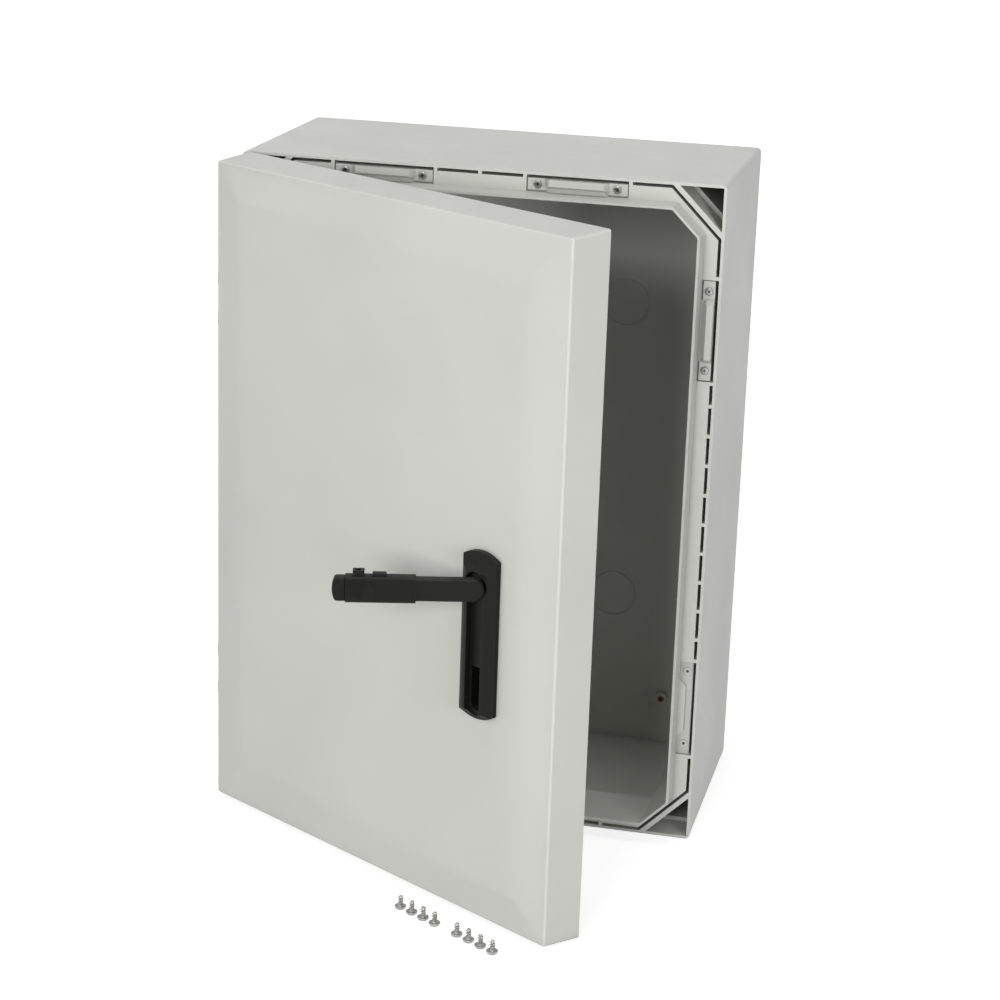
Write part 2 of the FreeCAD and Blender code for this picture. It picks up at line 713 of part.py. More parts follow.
def make_hinge_plate(label, way):
    """Body half of a hinge: a seat plate with a forward arm and an eye for the pin."""
    body = new_body(label)
    line_x = -(half_width - seat_line_inset)
    half_across = size("plate_width") / 2
    half_middle = size("seat_middle") / 2 + size("fit_clearance")
    waist = line_x - half_across + size("seat_middle_width") - size("fit_clearance")
    strip = front_sketch(body, "strip", plate_back)
    half_plate = size("plate_length") / 2
    half_foot = half_middle + line_x + half_across - waist
    outline(strip, [
        (line_x - half_across, -half_plate), (line_x + half_across, -half_plate),
        (line_x + half_across, -half_foot), (waist, -half_middle),
        (waist, half_middle), (line_x + half_across, half_foot),
        (line_x + half_across, half_plate), (line_x - half_across, half_plate),
    ])
    pad(body, strip, size("plate_thickness"))
    arm = plan_sketch(body, "arm")
    low = plate_front - size("fit_clearance")
    outline(arm, [
        (hinge_x - 1, -low), (hinge_x + 6.4, -low),
        (hinge_x + size("eye_radius") - 0.2, -hinge_forward), (hinge_x - 1, -hinge_forward),
    ])
    pad(body, arm, size("eye_length"), both_ways=True)
    eye = plan_sketch(body, "eye")
    circle(eye, (hinge_x, -hinge_forward), size("eye_radius"))
    pad(body, eye, size("eye_length"), both_ways=True)
    bore = plan_sketch(body, "bore")
    circle(bore, (hinge_x, -hinge_forward), bore_radius)
    pocket(body, bore, size("eye_length") * 2, both_ways=True)
    holes = front_sketch(body, "holes", plate_front)
    sinks = front_sketch(body, "sinks", plate_front)
    for sign in (-1, 1):
        place = (line_x, size("seat_screw_pitch") / 2 * sign)
        circle(holes, place, size("plate_hole_radius"))
        circle(sinks, place, size("sink_radius"))
    pocket(body, holes, size("plate_thickness") * 2)
    pocket(body, sinks, size("sink_depth"))
    body.Placement = FreeCAD.Placement(
        Vector(0, 0, (size("seat_offset_side") * way).value), FreeCAD.Rotation())
    return body


def make_hinge_plate_screws():
    screws = []
    line_x = -(half_width - seat_line_inset).value
    clear = size("fit_clearance").value
    shank = size("seat_hole_radius").value - clear
    seat = (plate_front - size("sink_depth")).value
    head = size("sink_radius").value - clear
    top = plate_front.value - clear
    bottom = plate_front.value - size("seat_screw_length").value
    for way in (-1, 1):
        for half_pitch in (-0.5, 0.5):
            height = way * size("seat_offset_side").value
            height += half_pitch * size("seat_screw_pitch").value
            screws.append(turned_solid([
                (0, bottom), (shank, bottom), (shank, seat), (head, seat), (head, top),
                (head * 0.4, top), (0, top - size("sink_depth").value * 0.5),
            ], (line_x, height)))
    return plain_feature("hinge_plate_screws", Part.makeCompound(screws))


def make_hinge_pin(label, way):
    pin = doc.addObject("Part::Cylinder", label)
    pin.Label = label
    pin.setExpression("Radius", size("pin_radius").text)
    length = size("eye_length") + (size("knuckle_gap") + size("knuckle_length")) * 2
    pin.setExpression("Height", length.text)
    height = (size("seat_offset_side") * way - length / 2).value
    pin.Placement = door_place.multiply(FreeCAD.Placement(
        Vector(hinge_x.value, -hinge_forward.value, height), FreeCAD.Rotation()))
    return pin


# Door

POST_COLUMNS = (-205, 40, 195)


def post_places():
    """Screw posts that carry the inner panel, clear of the lock rods."""
    places = []
    for column in POST_COLUMNS:
        for row in (-290, 0, 290):
            if column > 100 and row == 0:
                row = -120
            places.append((as_size(column), as_size(row)))
    return places


def escutcheon_screw_places():
    return [(hub_x, hub_z + 24), (hub_x - 14.5, hub_z - 70), (hub_x + 14.5, hub_z - 70)]


def window_box(sketch, margin):
    half = size("window_width") / 2 + margin
    rectangle(sketch, hub_x - half, hub_z - size("window_bottom") - margin,
              hub_x + half, hub_z - size("window_top") + margin)


def make_door_shell():
    body = new_body("door_shell")
    skirt = front_sketch(body, "skirt", rim)
    rectangle(skirt, -door_half_x, -door_half_z, door_half_x, door_half_z)
    pad(body, skirt, size("skirt_depth"), taper=-size("skirt_draft"))
    inset = size("skirt_inset")
    low = front_sketch(body, "bevel_foot", ridge)
    rectangle(low, -door_half_x + inset, -door_half_z + inset,
              door_half_x - inset, door_half_z - inset)
    high = front_sketch(body, "bevel_head", door_face)
    reach = inset + size("bevel_width")
    rectangle(high, -door_half_x + reach, -door_half_z + reach,
              door_half_x - reach, door_half_z - reach)
    loft(body, "AdditiveLoft", low, high)
    round_door_edges(body)

    wall = size("skirt_wall")
    hollow_depth = size("skirt_depth") - size("door_skin")
    hollow = front_sketch(body, "hollow", rim)
    rectangle(hollow, -door_half_x + wall, -door_half_z + wall,
              door_half_x - wall, door_half_z - wall)
    pocket(body, hollow, hollow_depth, along_normal=True, taper=-size("skirt_draft"))
    inner_low = front_sketch(body, "inner_foot", rim + hollow_depth)
    inner_inset = inset + wall
    rectangle(inner_low, -door_half_x + inner_inset, -door_half_z + inner_inset,
              door_half_x - inner_inset, door_half_z - inner_inset)
    inner_high = front_sketch(body, "inner_head", skin_inside)
    rectangle(inner_high, -door_half_x + reach, -door_half_z + reach,
              door_half_x - reach, door_half_z - reach)
    loft(body, "SubtractiveLoft", inner_low, inner_high)

    posts = front_sketch(body, "posts", liner_front)
    post_holes = front_sketch(body, "post_holes", liner_front)
    for place in post_places():
        circle(posts, place, size("post_radius"))
        circle(post_holes, place, size("post_hole_radius"))
    pad(body, posts, skin_inside - liner_front + 0.5)
    pocket(body, post_holes, size("post_hole_depth"), along_normal=True)

    add_guide_foot(body)
    add_knuckles(body)

    skin_holes = front_sketch(body, "skin_holes", skin_inside)
    circle(skin_holes, (hub_x, hub_z), size("bush_radius") + size("fit_clearance"))
    window_box(skin_holes, size("cup_wall") + size("fit_clearance") * 3)
    for place in escutcheon_screw_places():
        circle(skin_holes, place, size("plate_hole_radius"))
    pocket(body, skin_holes, size("door_skin") * 2, along_normal=True)
    body.Placement = door_place
    return body


def round_door_edges(body):
    """Round the skirt's corners and the ridge, then blend the bevel softly into the face."""
    rim_line, ridge_line, face_line = -rim.value, -ridge.value, -door_face.value

    def outer_edge(edge):
        box = edge.BoundBox
        from_ridge = near(box.YMin, ridge_line)
        return from_ridge and (near(box.YMax, rim_line) or near(box.YMax, ridge_line))

    def crown_edge(edge):
        return near(edge.BoundBox.YMin, face_line) and near(edge.BoundBox.YMax, face_line)

    round_edges(body, size("door_corner_radius"), outer_edge)
    round_edges(body, size("bevel_blend"), crown_edge)


def add_guide_foot(body):
    """Level foot under the sloping edge of the skin, for the side rod's upper guide."""
    kind, place = GUIDES["rod_guide_side_leg"]
    centre_x, centre_z, slot_x, slot_z, half_x, half_z = guide_frame(kind, place)
    foot = plan_sketch(body, "guide_foot", centre_z)
    low = skin_back_at(kind)
    margin = size("fit_clearance") * 6
    outline(foot, [
        (centre_x - half_x - margin, -low), (centre_x + half_x + margin, -low),
        (centre_x + half_x + margin, -(skin_inside + 1 - size("bevel_rise") * 0.73)),
        (centre_x - half_x - margin, -(skin_inside + 1 - size("bevel_rise") * 0.15)),
    ])
    pad(body, foot, (half_z + size("guide_ear") + margin) * 2, both_ways=True)


def add_knuckles(body):
    eye_half = size("eye_length") / 2
    gap = size("knuckle_gap")
    for name, way in (("upper", 1), ("lower", -1)):
        centre = size("seat_offset_side") * way
        for end, sign in (("top", 1), ("foot", -1)):
            start = centre + (eye_half + gap) * sign
            round_part = plan_sketch(body, "knuckle_%s_%s" % (name, end), start)
            circle(round_part, (hinge_x, -hinge_forward), size("knuckle_radius"))
            pad(body, round_part, size("knuckle_length"), backward=sign < 0)
            web = plan_sketch(body, "web_%s_%s" % (name, end), start)
            side = size("knuckle_radius") - 0.1
            rectangle(web, hinge_x - side / 2, -(rim + size("skirt_depth") - 1),
                      hinge_x + side, -hinge_forward)
            pad(body, web, size("knuckle_length"), backward=sign < 0)
        notch = plan_sketch(body, "notch_%s" % name, centre)
        rectangle(notch, -half_width - 1, -(rim + size("notch_depth")),
                  hinge_x + size("eye_radius") + 1, -(rim - 1))
        pocket(body, notch, size("eye_length") + gap * 2, both_ways=True)
        bore = plan_sketch(body, "bore_%s" % name, centre)
        circle(bore, (hinge_x, -hinge_forward), bore_radius)
        pocket(body, bore, (size("eye_length") + size("knuckle_length") * 2 + gap * 2) * 1.2,
               both_ways=True)


def make_liner():
    body = new_body("door_liner")
    margin = size("liner_margin")
    panel = front_sketch(body, "panel", liner_back)
    growth = size("opening_margin") - margin
    octagon(panel, half_width - margin, half_height - margin,
            size("opening_chamfer") + growth * SIDE_GROWTH)
    pad(body, panel, size("liner_thickness"))
    field = front_sketch(body, "field", liner_back)
    inner = size("gasket_width") + margin + 14
    rounded_rectangle(field, half_width - inner, half_height - inner, as_size(20))
    pocket(body, field, size("liner_thickness") * 0.35, along_normal=True)
    holes = front_sketch(body, "holes", liner_front)
    for place in post_places():
        circle(holes, place, size("post_hole_radius") + 0.4)
    pocket(body, holes, size("liner_thickness") * 2)
    body.Placement = door_place
    return body


def make_gasket():
    body = new_body("door_gasket")
    outer = size("liner_margin") + size("gasket_seam")
    inner = outer + size("gasket_width")
    ring = front_sketch(body, "ring", liner_back)
    for margin in (outer, inner):
        growth = size("opening_margin") - margin
        octagon(ring, half_width - margin, half_height - margin,
                size("opening_chamfer") + growth * SIDE_GROWTH)
    pad(body, ring, liner_back - gasket_back, backward=True, taper=-size("gasket_draft"))
    body.Placement = door_place
    return body


def make_liner_screws():
    screws = []
    seat = liner_back.value + (size("liner_thickness") * 0.35).value
    shank = size("post_hole_radius").value - size("fit_clearance").value
    head = 3.6
    for place_x, place_z in post_places():
        tip = liner_front.value + size("post_hole_depth").value - 1.5
        screws.append(turned_solid([
            (0, seat - 1.5), (head * 0.35, seat - 1.9), (head * 0.6, seat - 1.9),
            (head, seat - 0.8), (head, seat), (shank, seat), (shank, tip), (0, tip),
        ], (place_x.value, place_z.value)))
    return plain_feature("liner_screws", Part.makeCompound(screws), door_place)


# Lock rods, hooks and guides

tab_inner = size("liner_margin") - 0.2 - size("hook_clear")


def rod_pin(body, place):
    follower = front_sketch(body, "follower", rod_front)
    circle(follower, place, size("follower_radius"))
    pad(body, follower, size("follower_length"))


def hook_line():
    """Outer distance from the box's side to the hook's tab when the lock is open."""
    return size("opening_margin") - size("collar_base") - size("hook_clear")


def make_vertical_rod(label, way):
    """Flat rod with its follower pin at the cam and a wide head near the striker."""
    body = new_body(label)
    half_rod = size("rod_width") / 2
    pin_z = hub_z + size("long_arm") * way
    start = pin_z - 6 * way
    head_top = (half_height - hook_line() - 10.9) * way
    head_low = head_top - size("rod_width") * way
    left = size("seat_offset_top") - size("hook_width") / 2
    sketch = front_sketch(body, "bar", rod_back)
    outline(sketch, [
        (hub_x - half_rod, start), (hub_x + half_rod, start), (hub_x + half_rod, head_top),
        (left, head_top), (left, head_low), (hub_x - half_rod, head_low),
    ])
    pad(body, sketch, size("rod_thickness"))
    rod_pin(body, (hub_x, pin_z))
    body.Placement = door_place
    return body


def make_side_rod():
    """Angled rod: a short arm from the cam and a long leg up to the side striker."""
    body = new_body("side_rod")
    half_rod = size("rod_width") / 2
    leg_right = half_width - hook_line() - 6.9
    leg_left = leg_right - size("rod_width")
    leg_top = size("seat_offset_side") + size("hook_width") / 2 + 4
    sketch = front_sketch(body, "bar", rod_back)
    start = hub_x + size("short_arm") - 4
    outline(sketch, [
        (start, hub_z - half_rod), (leg_right, hub_z - half_rod), (leg_right, leg_top),
        (leg_left, leg_top), (leg_left, hub_z + half_rod), (start, hub_z + half_rod),
    ])
    pad(body, sketch, size("rod_thickness"))
    rod_pin(body, (hub_x + size("short_arm"), hub_z))
    body.Placement = door_place
    return body


def make_hook(label, side):
    """Bent steel hook: flange on the rod, tab back over the panel's edge, tongue outward."""
    body = new_body(label)
    if side == "right":
        outer = half_width
        along = -size("seat_offset_side")
    else:
        outer = half_height
        along = size("seat_offset_top") * (1 if side == "top" else -1)
    tab = outer - hook_line()
    sheet_front = rod_front + size("hook_sheet")
    tongue_back = front + size("tongue_lift")
    half_hook = size("hook_width") / 2
    for name, forward, length, low, high in (
        ("flange", rod_front, size("hook_sheet"), tab - size("hook_flange"), tab),
        ("tab", tongue_back, sheet_front - tongue_back, tab, tab + size("hook_sheet")),
        ("tongue", tongue_back, size("tongue_thickness"),
         tab, tab + size("hook_sheet") + size("tongue_length")),
    ):
        sketch = front_sketch(body, name, forward)
        outline(sketch, side_points(side, [
            (along - half_hook, low), (along + half_hook, low),
            (along + half_hook, high), (along - half_hook, high),
        ]))
        pad(body, sketch, length)
    rivets = front_sketch(body, "rivets", sheet_front)
    for way in (-1, 1):
        place = side_points(side, [(along + half_hook * 0.55 * way, tab - 17)])[0]
        circle(rivets, place, size("rivet_radius"))
    pad(body, rivets, size("rivet_height"))
    body.Placement = door_place
    return body


GUIDES = {
    "rod_guide_upper_high": ("up", 240), "rod_guide_upper_low": ("up", 70),
    "rod_guide_lower_high": ("up", -165), "rod_guide_lower_low": ("up", -245),
    "rod_guide_side_arm": ("across", 191), "rod_guide_side_leg": ("leg", 120),
}


def guide_frame(kind, place):
    """Centre, half-slot sizes and outer half sizes of a guide as Sizes in X and Z."""
    clear = size("guide_clearance")
    half_rod = size("rod_width") / 2 + clear
    half_body = size("guide_width") / 2
    half_deep = size("guide_height") / 2
    if kind == "up":
        return hub_x, as_size(place), half_rod, None, half_body, half_deep
    if kind == "across":
        return as_size(place), hub_z, None, half_rod, half_deep, half_body
    leg_right = half_width - hook_line() - 6.9
    centre = leg_right - size("rod_width") / 2 + size("rod_travel") / 2
    half_slot = half_rod + size("rod_travel") / 2
    return centre, as_size(place), half_slot, None, half_slot + 2.4, half_deep


def make_guide(label):
    """Moulded bridge on the door's skin with a slot that one flat rod slides through."""
    kind, place = GUIDES[label]
    centre_x, centre_z, slot_x, slot_z, half_x, half_z = guide_frame(kind, place)
    body = new_body(label)
    block = front_sketch(body, "block", rod_back - size("guide_back"))
    rectangle(block, centre_x - half_x, centre_z - half_z, centre_x + half_x, centre_z + half_z)
    pad(body, block, skin_back_at(kind) - rod_back + size("guide_back"))
    ear = size("guide_ear")
    thick = size("guide_ear_thickness")
    ears = front_sketch(body, "ears", skin_back_at(kind) - thick)
    rectangle(ears, centre_x - half_x, centre_z - half_z - ear,
              centre_x + half_x, centre_z + half_z + ear)
    pad(body, ears, thick)
    clear = size("guide_clearance")
    if slot_x is not None:
        slot = plan_sketch(body, "slot", centre_z)
        rectangle(slot, centre_x - slot_x, -(rod_front + clear),
                  centre_x + slot_x, -(rod_back - clear))
    else:
        slot = side_sketch(body, "slot", centre_x)
        rectangle(slot, -(rod_front + clear), centre_z - slot_z,
                  -(rod_back - clear), centre_z + slot_z)
    pocket(body, slot, size("guide_width") * 3, both_ways=True)
    body.Placement = door_place
    return body


def skin_back_at(kind):
    """Forward distance of the skin's inner face where a guide stands."""
    if kind == "leg":
        return skin_inside - size("bevel_rise") * 0.78
    return skin_inside


def make_guide_screws():
    screws = []
    shank = size("post_hole_radius").value
    for kind, place in GUIDES.values():
        centre_x, centre_z, slot_x, slot_z, half_x, half_z = guide_frame(kind, place)
        seat = (skin_back_at(kind) - size("guide_ear_thickness")).value
        reach = size("guide_ear").value / 2
        for way in (-1, 1):
            spot = (centre_x.value, centre_z.value + (half_z.value + reach) * way)
            screws.append(turned_solid([
                (0, seat - 1.2), (1.2, seat - 1.8), (2.2, seat - 1.8), (3.0, seat - 0.8),
                (3.0, seat), (0, seat),
            ], spot))
    return plain_feature("rod_guide_screws", Part.makeCompound(screws), door_place)


# Cam, spindle and bush

def spiral_slot(start_angle, start_radius):
    """Slot along which a follower moves out steadily while the cam turns a quarter turn."""
    travel = size("rod_travel").value
    half = size("follower_radius").value + size("slot_clearance").value
    steps = 12
    centres = []
    directions = []
    for step in range(steps + 1):
        share = step / steps
        angle = math.radians(start_angle) - share * math.pi / 2
        radius = start_radius + travel * share
        radial = Vector(math.cos(angle), 0, math.sin(angle))
        tangent = Vector(math.sin(angle), 0, -math.cos(angle)) * radius
        direction = tangent + radial * (travel * 2 / math.pi)
        direction.normalize()
        centres.append(radial * radius)
        directions.append(direction)
    sides = []
    for sign in (half, -half):
        curve = Part.BSplineCurve()
        curve.interpolate([
            centre + Vector(-direction.z, 0, direction.x) * sign
            for centre, direction in zip(centres, directions)
        ])
        sides.append(curve)
    left, right = sides
    start_cap = centres[0] - directions[0] * half
    end_cap = centres[-1] + directions[-1] * half
    edges = [
        left.toShape(),
        Part.Arc(left.EndPoint, end_cap, right.EndPoint).toShape(),
        right.toShape(),
        Part.Arc(right.StartPoint, start_cap, left.StartPoint).toShape(),
    ]
    wire = Part.Wire(Part.__sortEdges__(edges))
    thick = size("cam_thickness").value
    prism = Part.Face(wire).extrude(Vector(0, -(thick + 2), 0))
    prism.translate(Vector(0, -(cam_back.value - 1), 0))
    return prism


def square_prism(half, low, high):
    prism = Part.makeBox(half * 2, high - low, half * 2)
    prism.translate(Vector(-half, -high, -half))
    return prism


def make_cam():
    """Disc on the spindle with one spiral slot for each rod's follower pin."""
    low, high = cam_back.value, cam_front.value
    disc = turned_solid([(0, low), (size("cam_radius").value, low),
                         (size("cam_radius").value, high), (0, high)], (0, 0))
    long_arm = size("long_arm").value
    for start_angle, arm in ((90, long_arm), (270, long_arm), (0, size("short_arm").value)):
        disc = disc.cut(spiral_slot(start_angle, arm))
    half = (size("square_side") / 2 + size("square_clearance")).value
    disc = disc.cut(square_prism(half, low - 1, high + 1))
    disc.translate(Vector(hub_x.value, 0, hub_z.value))
    return plain_feature("cam_disc", disc, door_place)


def make_yoke():
    """Turning head: disc, upright tongue for the lever's pin, round spindle and square end."""
    body = new_body("handle_yoke")
    disc = front_sketch(body, "disc", yoke_back)
    circle(disc, (hub_x, hub_z), size("yoke_radius"))
    pad(body, disc, size("yoke_thickness"))
    tongue = side_sketch(body, "tongue", hub_x)
    half = size("tongue_half")
    outline(tongue, [
        (-(yoke_front - 0.2), hub_z - half), (-(yoke_front - 0.2), hub_z + half),
        (-pin_forward, hub_z + half), (-(pin_forward + half), hub_z), (-pin_forward, hub_z - half),
    ], {2: half, 3: half})
    pad(body, tongue, size("yoke_tongue"), both_ways=True)
    bore = side_sketch(body, "bore", hub_x)
    circle(bore, (-pin_forward, hub_z), size("lever_pin_radius") + size("pin_clearance"))
    pocket(body, bore, size("yoke_tongue") * 2, both_ways=True)
    spindle = front_sketch(body, "spindle", yoke_back)
    circle(spindle, (hub_x, hub_z), size("spindle_radius"))
    pad(body, spindle, yoke_back - cam_front - size("fit_clearance"), backward=True)
    square = front_sketch(body, "square", cam_front + size("fit_clearance"))
    side = size("square_side") / 2
    rectangle(square, hub_x - side, hub_z - side, hub_x + side, hub_z + side)
    pad(body, square, size("cam_thickness"), backward=True)
    tap = front_sketch(body, "tap", cam_back + size("fit_clearance"))
    circle(tap, (hub_x, hub_z), size("seat_hole_radius") + 0.6)
    pocket(body, tap, as_size(10), along_normal=True)
    body.Placement = spindle_place
    return body


def make_bush():
    body = new_body("spindle_bush")
    flange = front_sketch(body, "flange", skin_inside)
    circle(flange, (hub_x, hub_z), size("bush_flange_radius"))
    pad(body, flange, skin_inside - cam_front - size("fit_clearance") * 5, backward=True)
    sleeve = front_sketch(body, "sleeve", skin_inside)
    circle(sleeve, (hub_x, hub_z), size("bush_radius"))
    pad(body, sleeve, hub_floor - skin_inside)
    bore = front_sketch(body, "bore", hub_floor)
    circle(bore, (hub_x, hub_z), size("spindle_radius") + size("pin_clearance"))
    pocket(body, bore, hub_floor - cam_front + 5)
    body.Placement = door_place
    return body


def make_cam_washer():
    low = (cam_back - size("washer_thickness")).value
    hole = size("seat_hole_radius").value + 0.7
    radius = size("washer_radius").value
    ring = turned_solid([(hole, low), (radius, low), (radius, cam_back.value),
                         (hole, cam_back.value)], (hub_x.value, hub_z.value))
    return plain_feature("cam_washer", ring, door_place)


def make_cam_screw():
    seat = (cam_back - size("washer_thickness")).value
    head = size("cam_screw_radius").value
    top = seat - size("cam_screw_head").value
    shank = size("seat_hole_radius").value + 0.5
    screw = turned_solid([
        (0, top + 1.2), (head * 0.4, top), (head * 0.7, top), (head, top + 1), (head, seat),
        (shank, seat), (shank, seat + 9), (0, seat + 9),
    ], (hub_x.value, hub_z.value))
    return plain_feature("cam_screw", screw, door_place)


# Handle plate

def escutcheon_outline(sketch, inset):
    half = size("escutcheon_width") / 2 - inset
    up = hub_z + size("escutcheon_up") - inset
    down = hub_z - size("escutcheon_down") + inset
    arch = size("escutcheon_arch")
    radius = (half * half + arch * arch) / (arch * 2)
    outline(sketch, [
        (hub_x - half, down), (hub_x, down - arch), (hub_x + half, down),
        (hub_x + half, up), (hub_x, up + arch), (hub_x - half, up),
    ], {0: radius, 1: radius, 3: radius, 4: radius})


def make_escutcheon():
    """Crowned plate with a channel, a round well for the yoke and a deep keeper window."""
    body = new_body("handle_escutcheon")
    plate = front_sketch(body, "plate", escutcheon_back)
    escutcheon_outline(plate, ZERO)
    pad(body, plate, size("escutcheon_rise"))

    crown = plan_sketch(body, "crown", hub_z - size("escutcheon_down") / 2)
    half = size("escutcheon_width") / 2 + 0.5
    edge = escutcheon_back + size("escutcheon_edge")
    over = crest + 1
    run = half - size("crest_half")
    rise = size("escutcheon_rise") - size("escutcheon_edge")
    sweep = (run * run + rise * rise) / (rise * 2)
    crest_half = size("crest_half")
    outline(crown, [
        (hub_x - half, -edge), (hub_x - crest_half, -crest), (hub_x - crest_half, -over),
        (hub_x - half, -over),
    ], {0: sweep})
    outline(crown, [
        (hub_x + crest_half, -crest), (hub_x + half, -edge), (hub_x + half, -over),
        (hub_x + crest_half, -over),
    ], {0: sweep})
    pocket(body, crown, size("escutcheon_down") * 3, both_ways=True)

    ends = side_sketch(body, "ends", hub_x)
    top = hub_z + size("escutcheon_up") + size("escutcheon_arch") + 0.5
    bottom = hub_z - size("escutcheon_down") - size("escutcheon_arch") - 0.5
    fall = size("escutcheon_rise") - size("escutcheon_edge") - 1
    low = crest - fall
    top_run = as_size(20)
    bottom_run = as_size(9)
    top_sweep = (top_run * top_run + fall * fall) / (fall * 2)
    bottom_sweep = (bottom_run * bottom_run + fall * fall) / (fall * 2)
    outline(ends, [
        (-low, top), (-crest, top - top_run), (-over, top - top_run), (-over, top),
    ], {0: -top_sweep})
    outline(ends, [
        (-crest, bottom + bottom_run), (-low, bottom), (-over, bottom),
        (-over, bottom + bottom_run),
    ], {0: -bottom_sweep})
    pocket(body, ends, size("escutcheon_width") * 2, both_ways=True)

    channel = front_sketch(body, "channel", crest)
    half = size("channel_width") / 2
    floor = size("escutcheon_rise") - size("channel_floor")
    foot = hub_z - size("channel_bottom")
    outline(channel, [
        (hub_x - half, foot), (hub_x, foot - half), (hub_x + half, foot),
        (hub_x + half, hub_z), (hub_x - half, hub_z),
    ], {0: half, 1: half})
    pocket(body, channel, floor)
    well = front_sketch(body, "well", crest)
    circle(well, (hub_x, hub_z), size("hub_radius"))
    pocket(body, well, crest - hub_floor)

    cup = front_sketch(body, "cup", escutcheon_back)
    window_box(cup, size("cup_wall"))
    pad(body, cup, size("cup_depth"), backward=True)
    window = front_sketch(body, "window", crest)
    half = size("window_width") / 2
    foot = hub_z - size("window_bottom")
    outline(window, [
        (hub_x - half, foot + half), (hub_x, foot), (hub_x + half, foot + half),
        (hub_x + half, hub_z - size("window_top")), (hub_x - half, hub_z - size("window_top")),
    ], {0: half, 1: half})
    pocket(body, window, size("escutcheon_rise") + size("cup_depth") - size("cup_wall"))

    bore = front_sketch(body, "bore", hub_floor)
    circle(bore, (hub_x, hub_z), size("bush_radius") + size("fit_clearance"))
    pocket(body, bore, size("hub_floor") * 2)
    pilots = front_sketch(body, "pilots", escutcheon_back)
    for place in escutcheon_screw_places():
        circle(pilots, place, size("seat_hole_radius"))
    pocket(body, pilots, as_size(6), along_normal=True)
    body.Placement = door_place
    return body


def make_escutcheon_seal():
    body = new_body("escutcheon_seal")
    sheet_sketch = front_sketch(body, "sheet", door_face)
    escutcheon_outline(sheet_sketch, size("plate_seal"))
    circle(sheet_sketch, (hub_x, hub_z), size("bush_radius") + size("fit_clearance"))
    window_box(sheet_sketch, size("cup_wall") + size("fit_clearance"))
    for place in escutcheon_screw_places():
        circle(sheet_sketch, place, size("seat_hole_radius") + 0.2)
    pad(body, sheet_sketch, size("plate_seal"))
    body.Placement = door_place
    return body


def make_escutcheon_screws():
    screws = []
    seat = skin_inside.value
    shank = size("seat_hole_radius").value - size("fit_clearance").value
    tip = escutcheon_back.value + 5
    head = 3.6
    for place_x, place_z in escutcheon_screw_places():
        screws.append(turned_solid([
            (0, seat - 1.2), (head * 0.4, seat - 2.2), (head * 0.7, seat - 2.2),
            (head, seat - 1.1), (head, seat), (shank, seat), (shank, tip), (0, tip),
        ], (place_x.value, place_z.value)))
    return plain_feature("escutcheon_screws", Part.makeCompound(screws), door_place)


# Lever and grip, drawn pointing straight down

def make_lever():
    body = new_body("handle_lever")
    half = size("lever_half_width")
    mouth = hub_z - size("sleeve_start")
    arm = front_sketch(body, "arm", lever_back)
    outline(arm, [
        (hub_x - half, mouth), (hub_x + half, mouth), (hub_x + half, hub_z), (hub_x, hub_z + half),
        (hub_x - half, hub_z),
    ], {2: half, 3: half})
    pad(body, arm, size("lever_thickness"))
    front_line = -lever_front.value
    back_line = -lever_back.value

    def long_edge(edge):
        box = edge.BoundBox
        flat = near(box.YMin, box.YMax)
        at_face = near(box.YMin, front_line) or near(box.YMin, back_line)
        return flat and at_face and box.ZMax > mouth.value + 1

    round_edges(body, size("lever_round"), long_edge)
    middle = (lever_back + lever_front) / 2
    tenon = front_sketch(body, "tenon", middle - size("tenon_thickness") / 2)
    rectangle(tenon, hub_x - size("tenon_half_width"), mouth - size("tenon_length"),
              hub_x + size("tenon_half_width"), mouth + 5)
    pad(body, tenon, size("tenon_thickness"))
    slot = side_sketch(body, "slot", hub_x)
    top = size("lever_slot_top")
    rectangle(slot, -(pin_forward + top), hub_z - top,
              -(lever_back - 1), hub_z + half + 1)
    pocket(body, slot, size("lever_slot"), both_ways=True)
    heel = side_sketch(body, "heel", hub_x)
    outline(heel, [
        (-(pin_forward + 2), hub_z + half + 0.5), (-(lever_back - 1), hub_z + half + 0.5),
        (-(lever_back - 1), hub_z + 5.5), (-lever_back, hub_z + 5.5),
    ])
    pocket(body, heel, half * 3, both_ways=True)
    bore = side_sketch(body, "bore", hub_x)
    circle(bore, (-pin_forward, hub_z), size("lever_pin_radius") + size("pin_clearance") / 2)
    pocket(body, bore, half * 3, both_ways=True)
    body.Placement = lever_place
    return body


def make_lever_pin():
    pin = doc.addObject("Part::Cylinder", "lever_pin")
    pin.Label = "lever_pin"
    pin.setExpression("Radius", (size("lever_pin_radius")).text)
    length = size("lever_half_width") * 2 - 3
    pin.setExpression("Height", length.text)
    pin.Placement = lever_place.multiply(FreeCAD.Placement(
        Vector((hub_x - length / 2).value, -pin_forward.value, hub_z.value),
        FreeCAD.Rotation(Vector(0, 1, 0), 90)))
    return pin


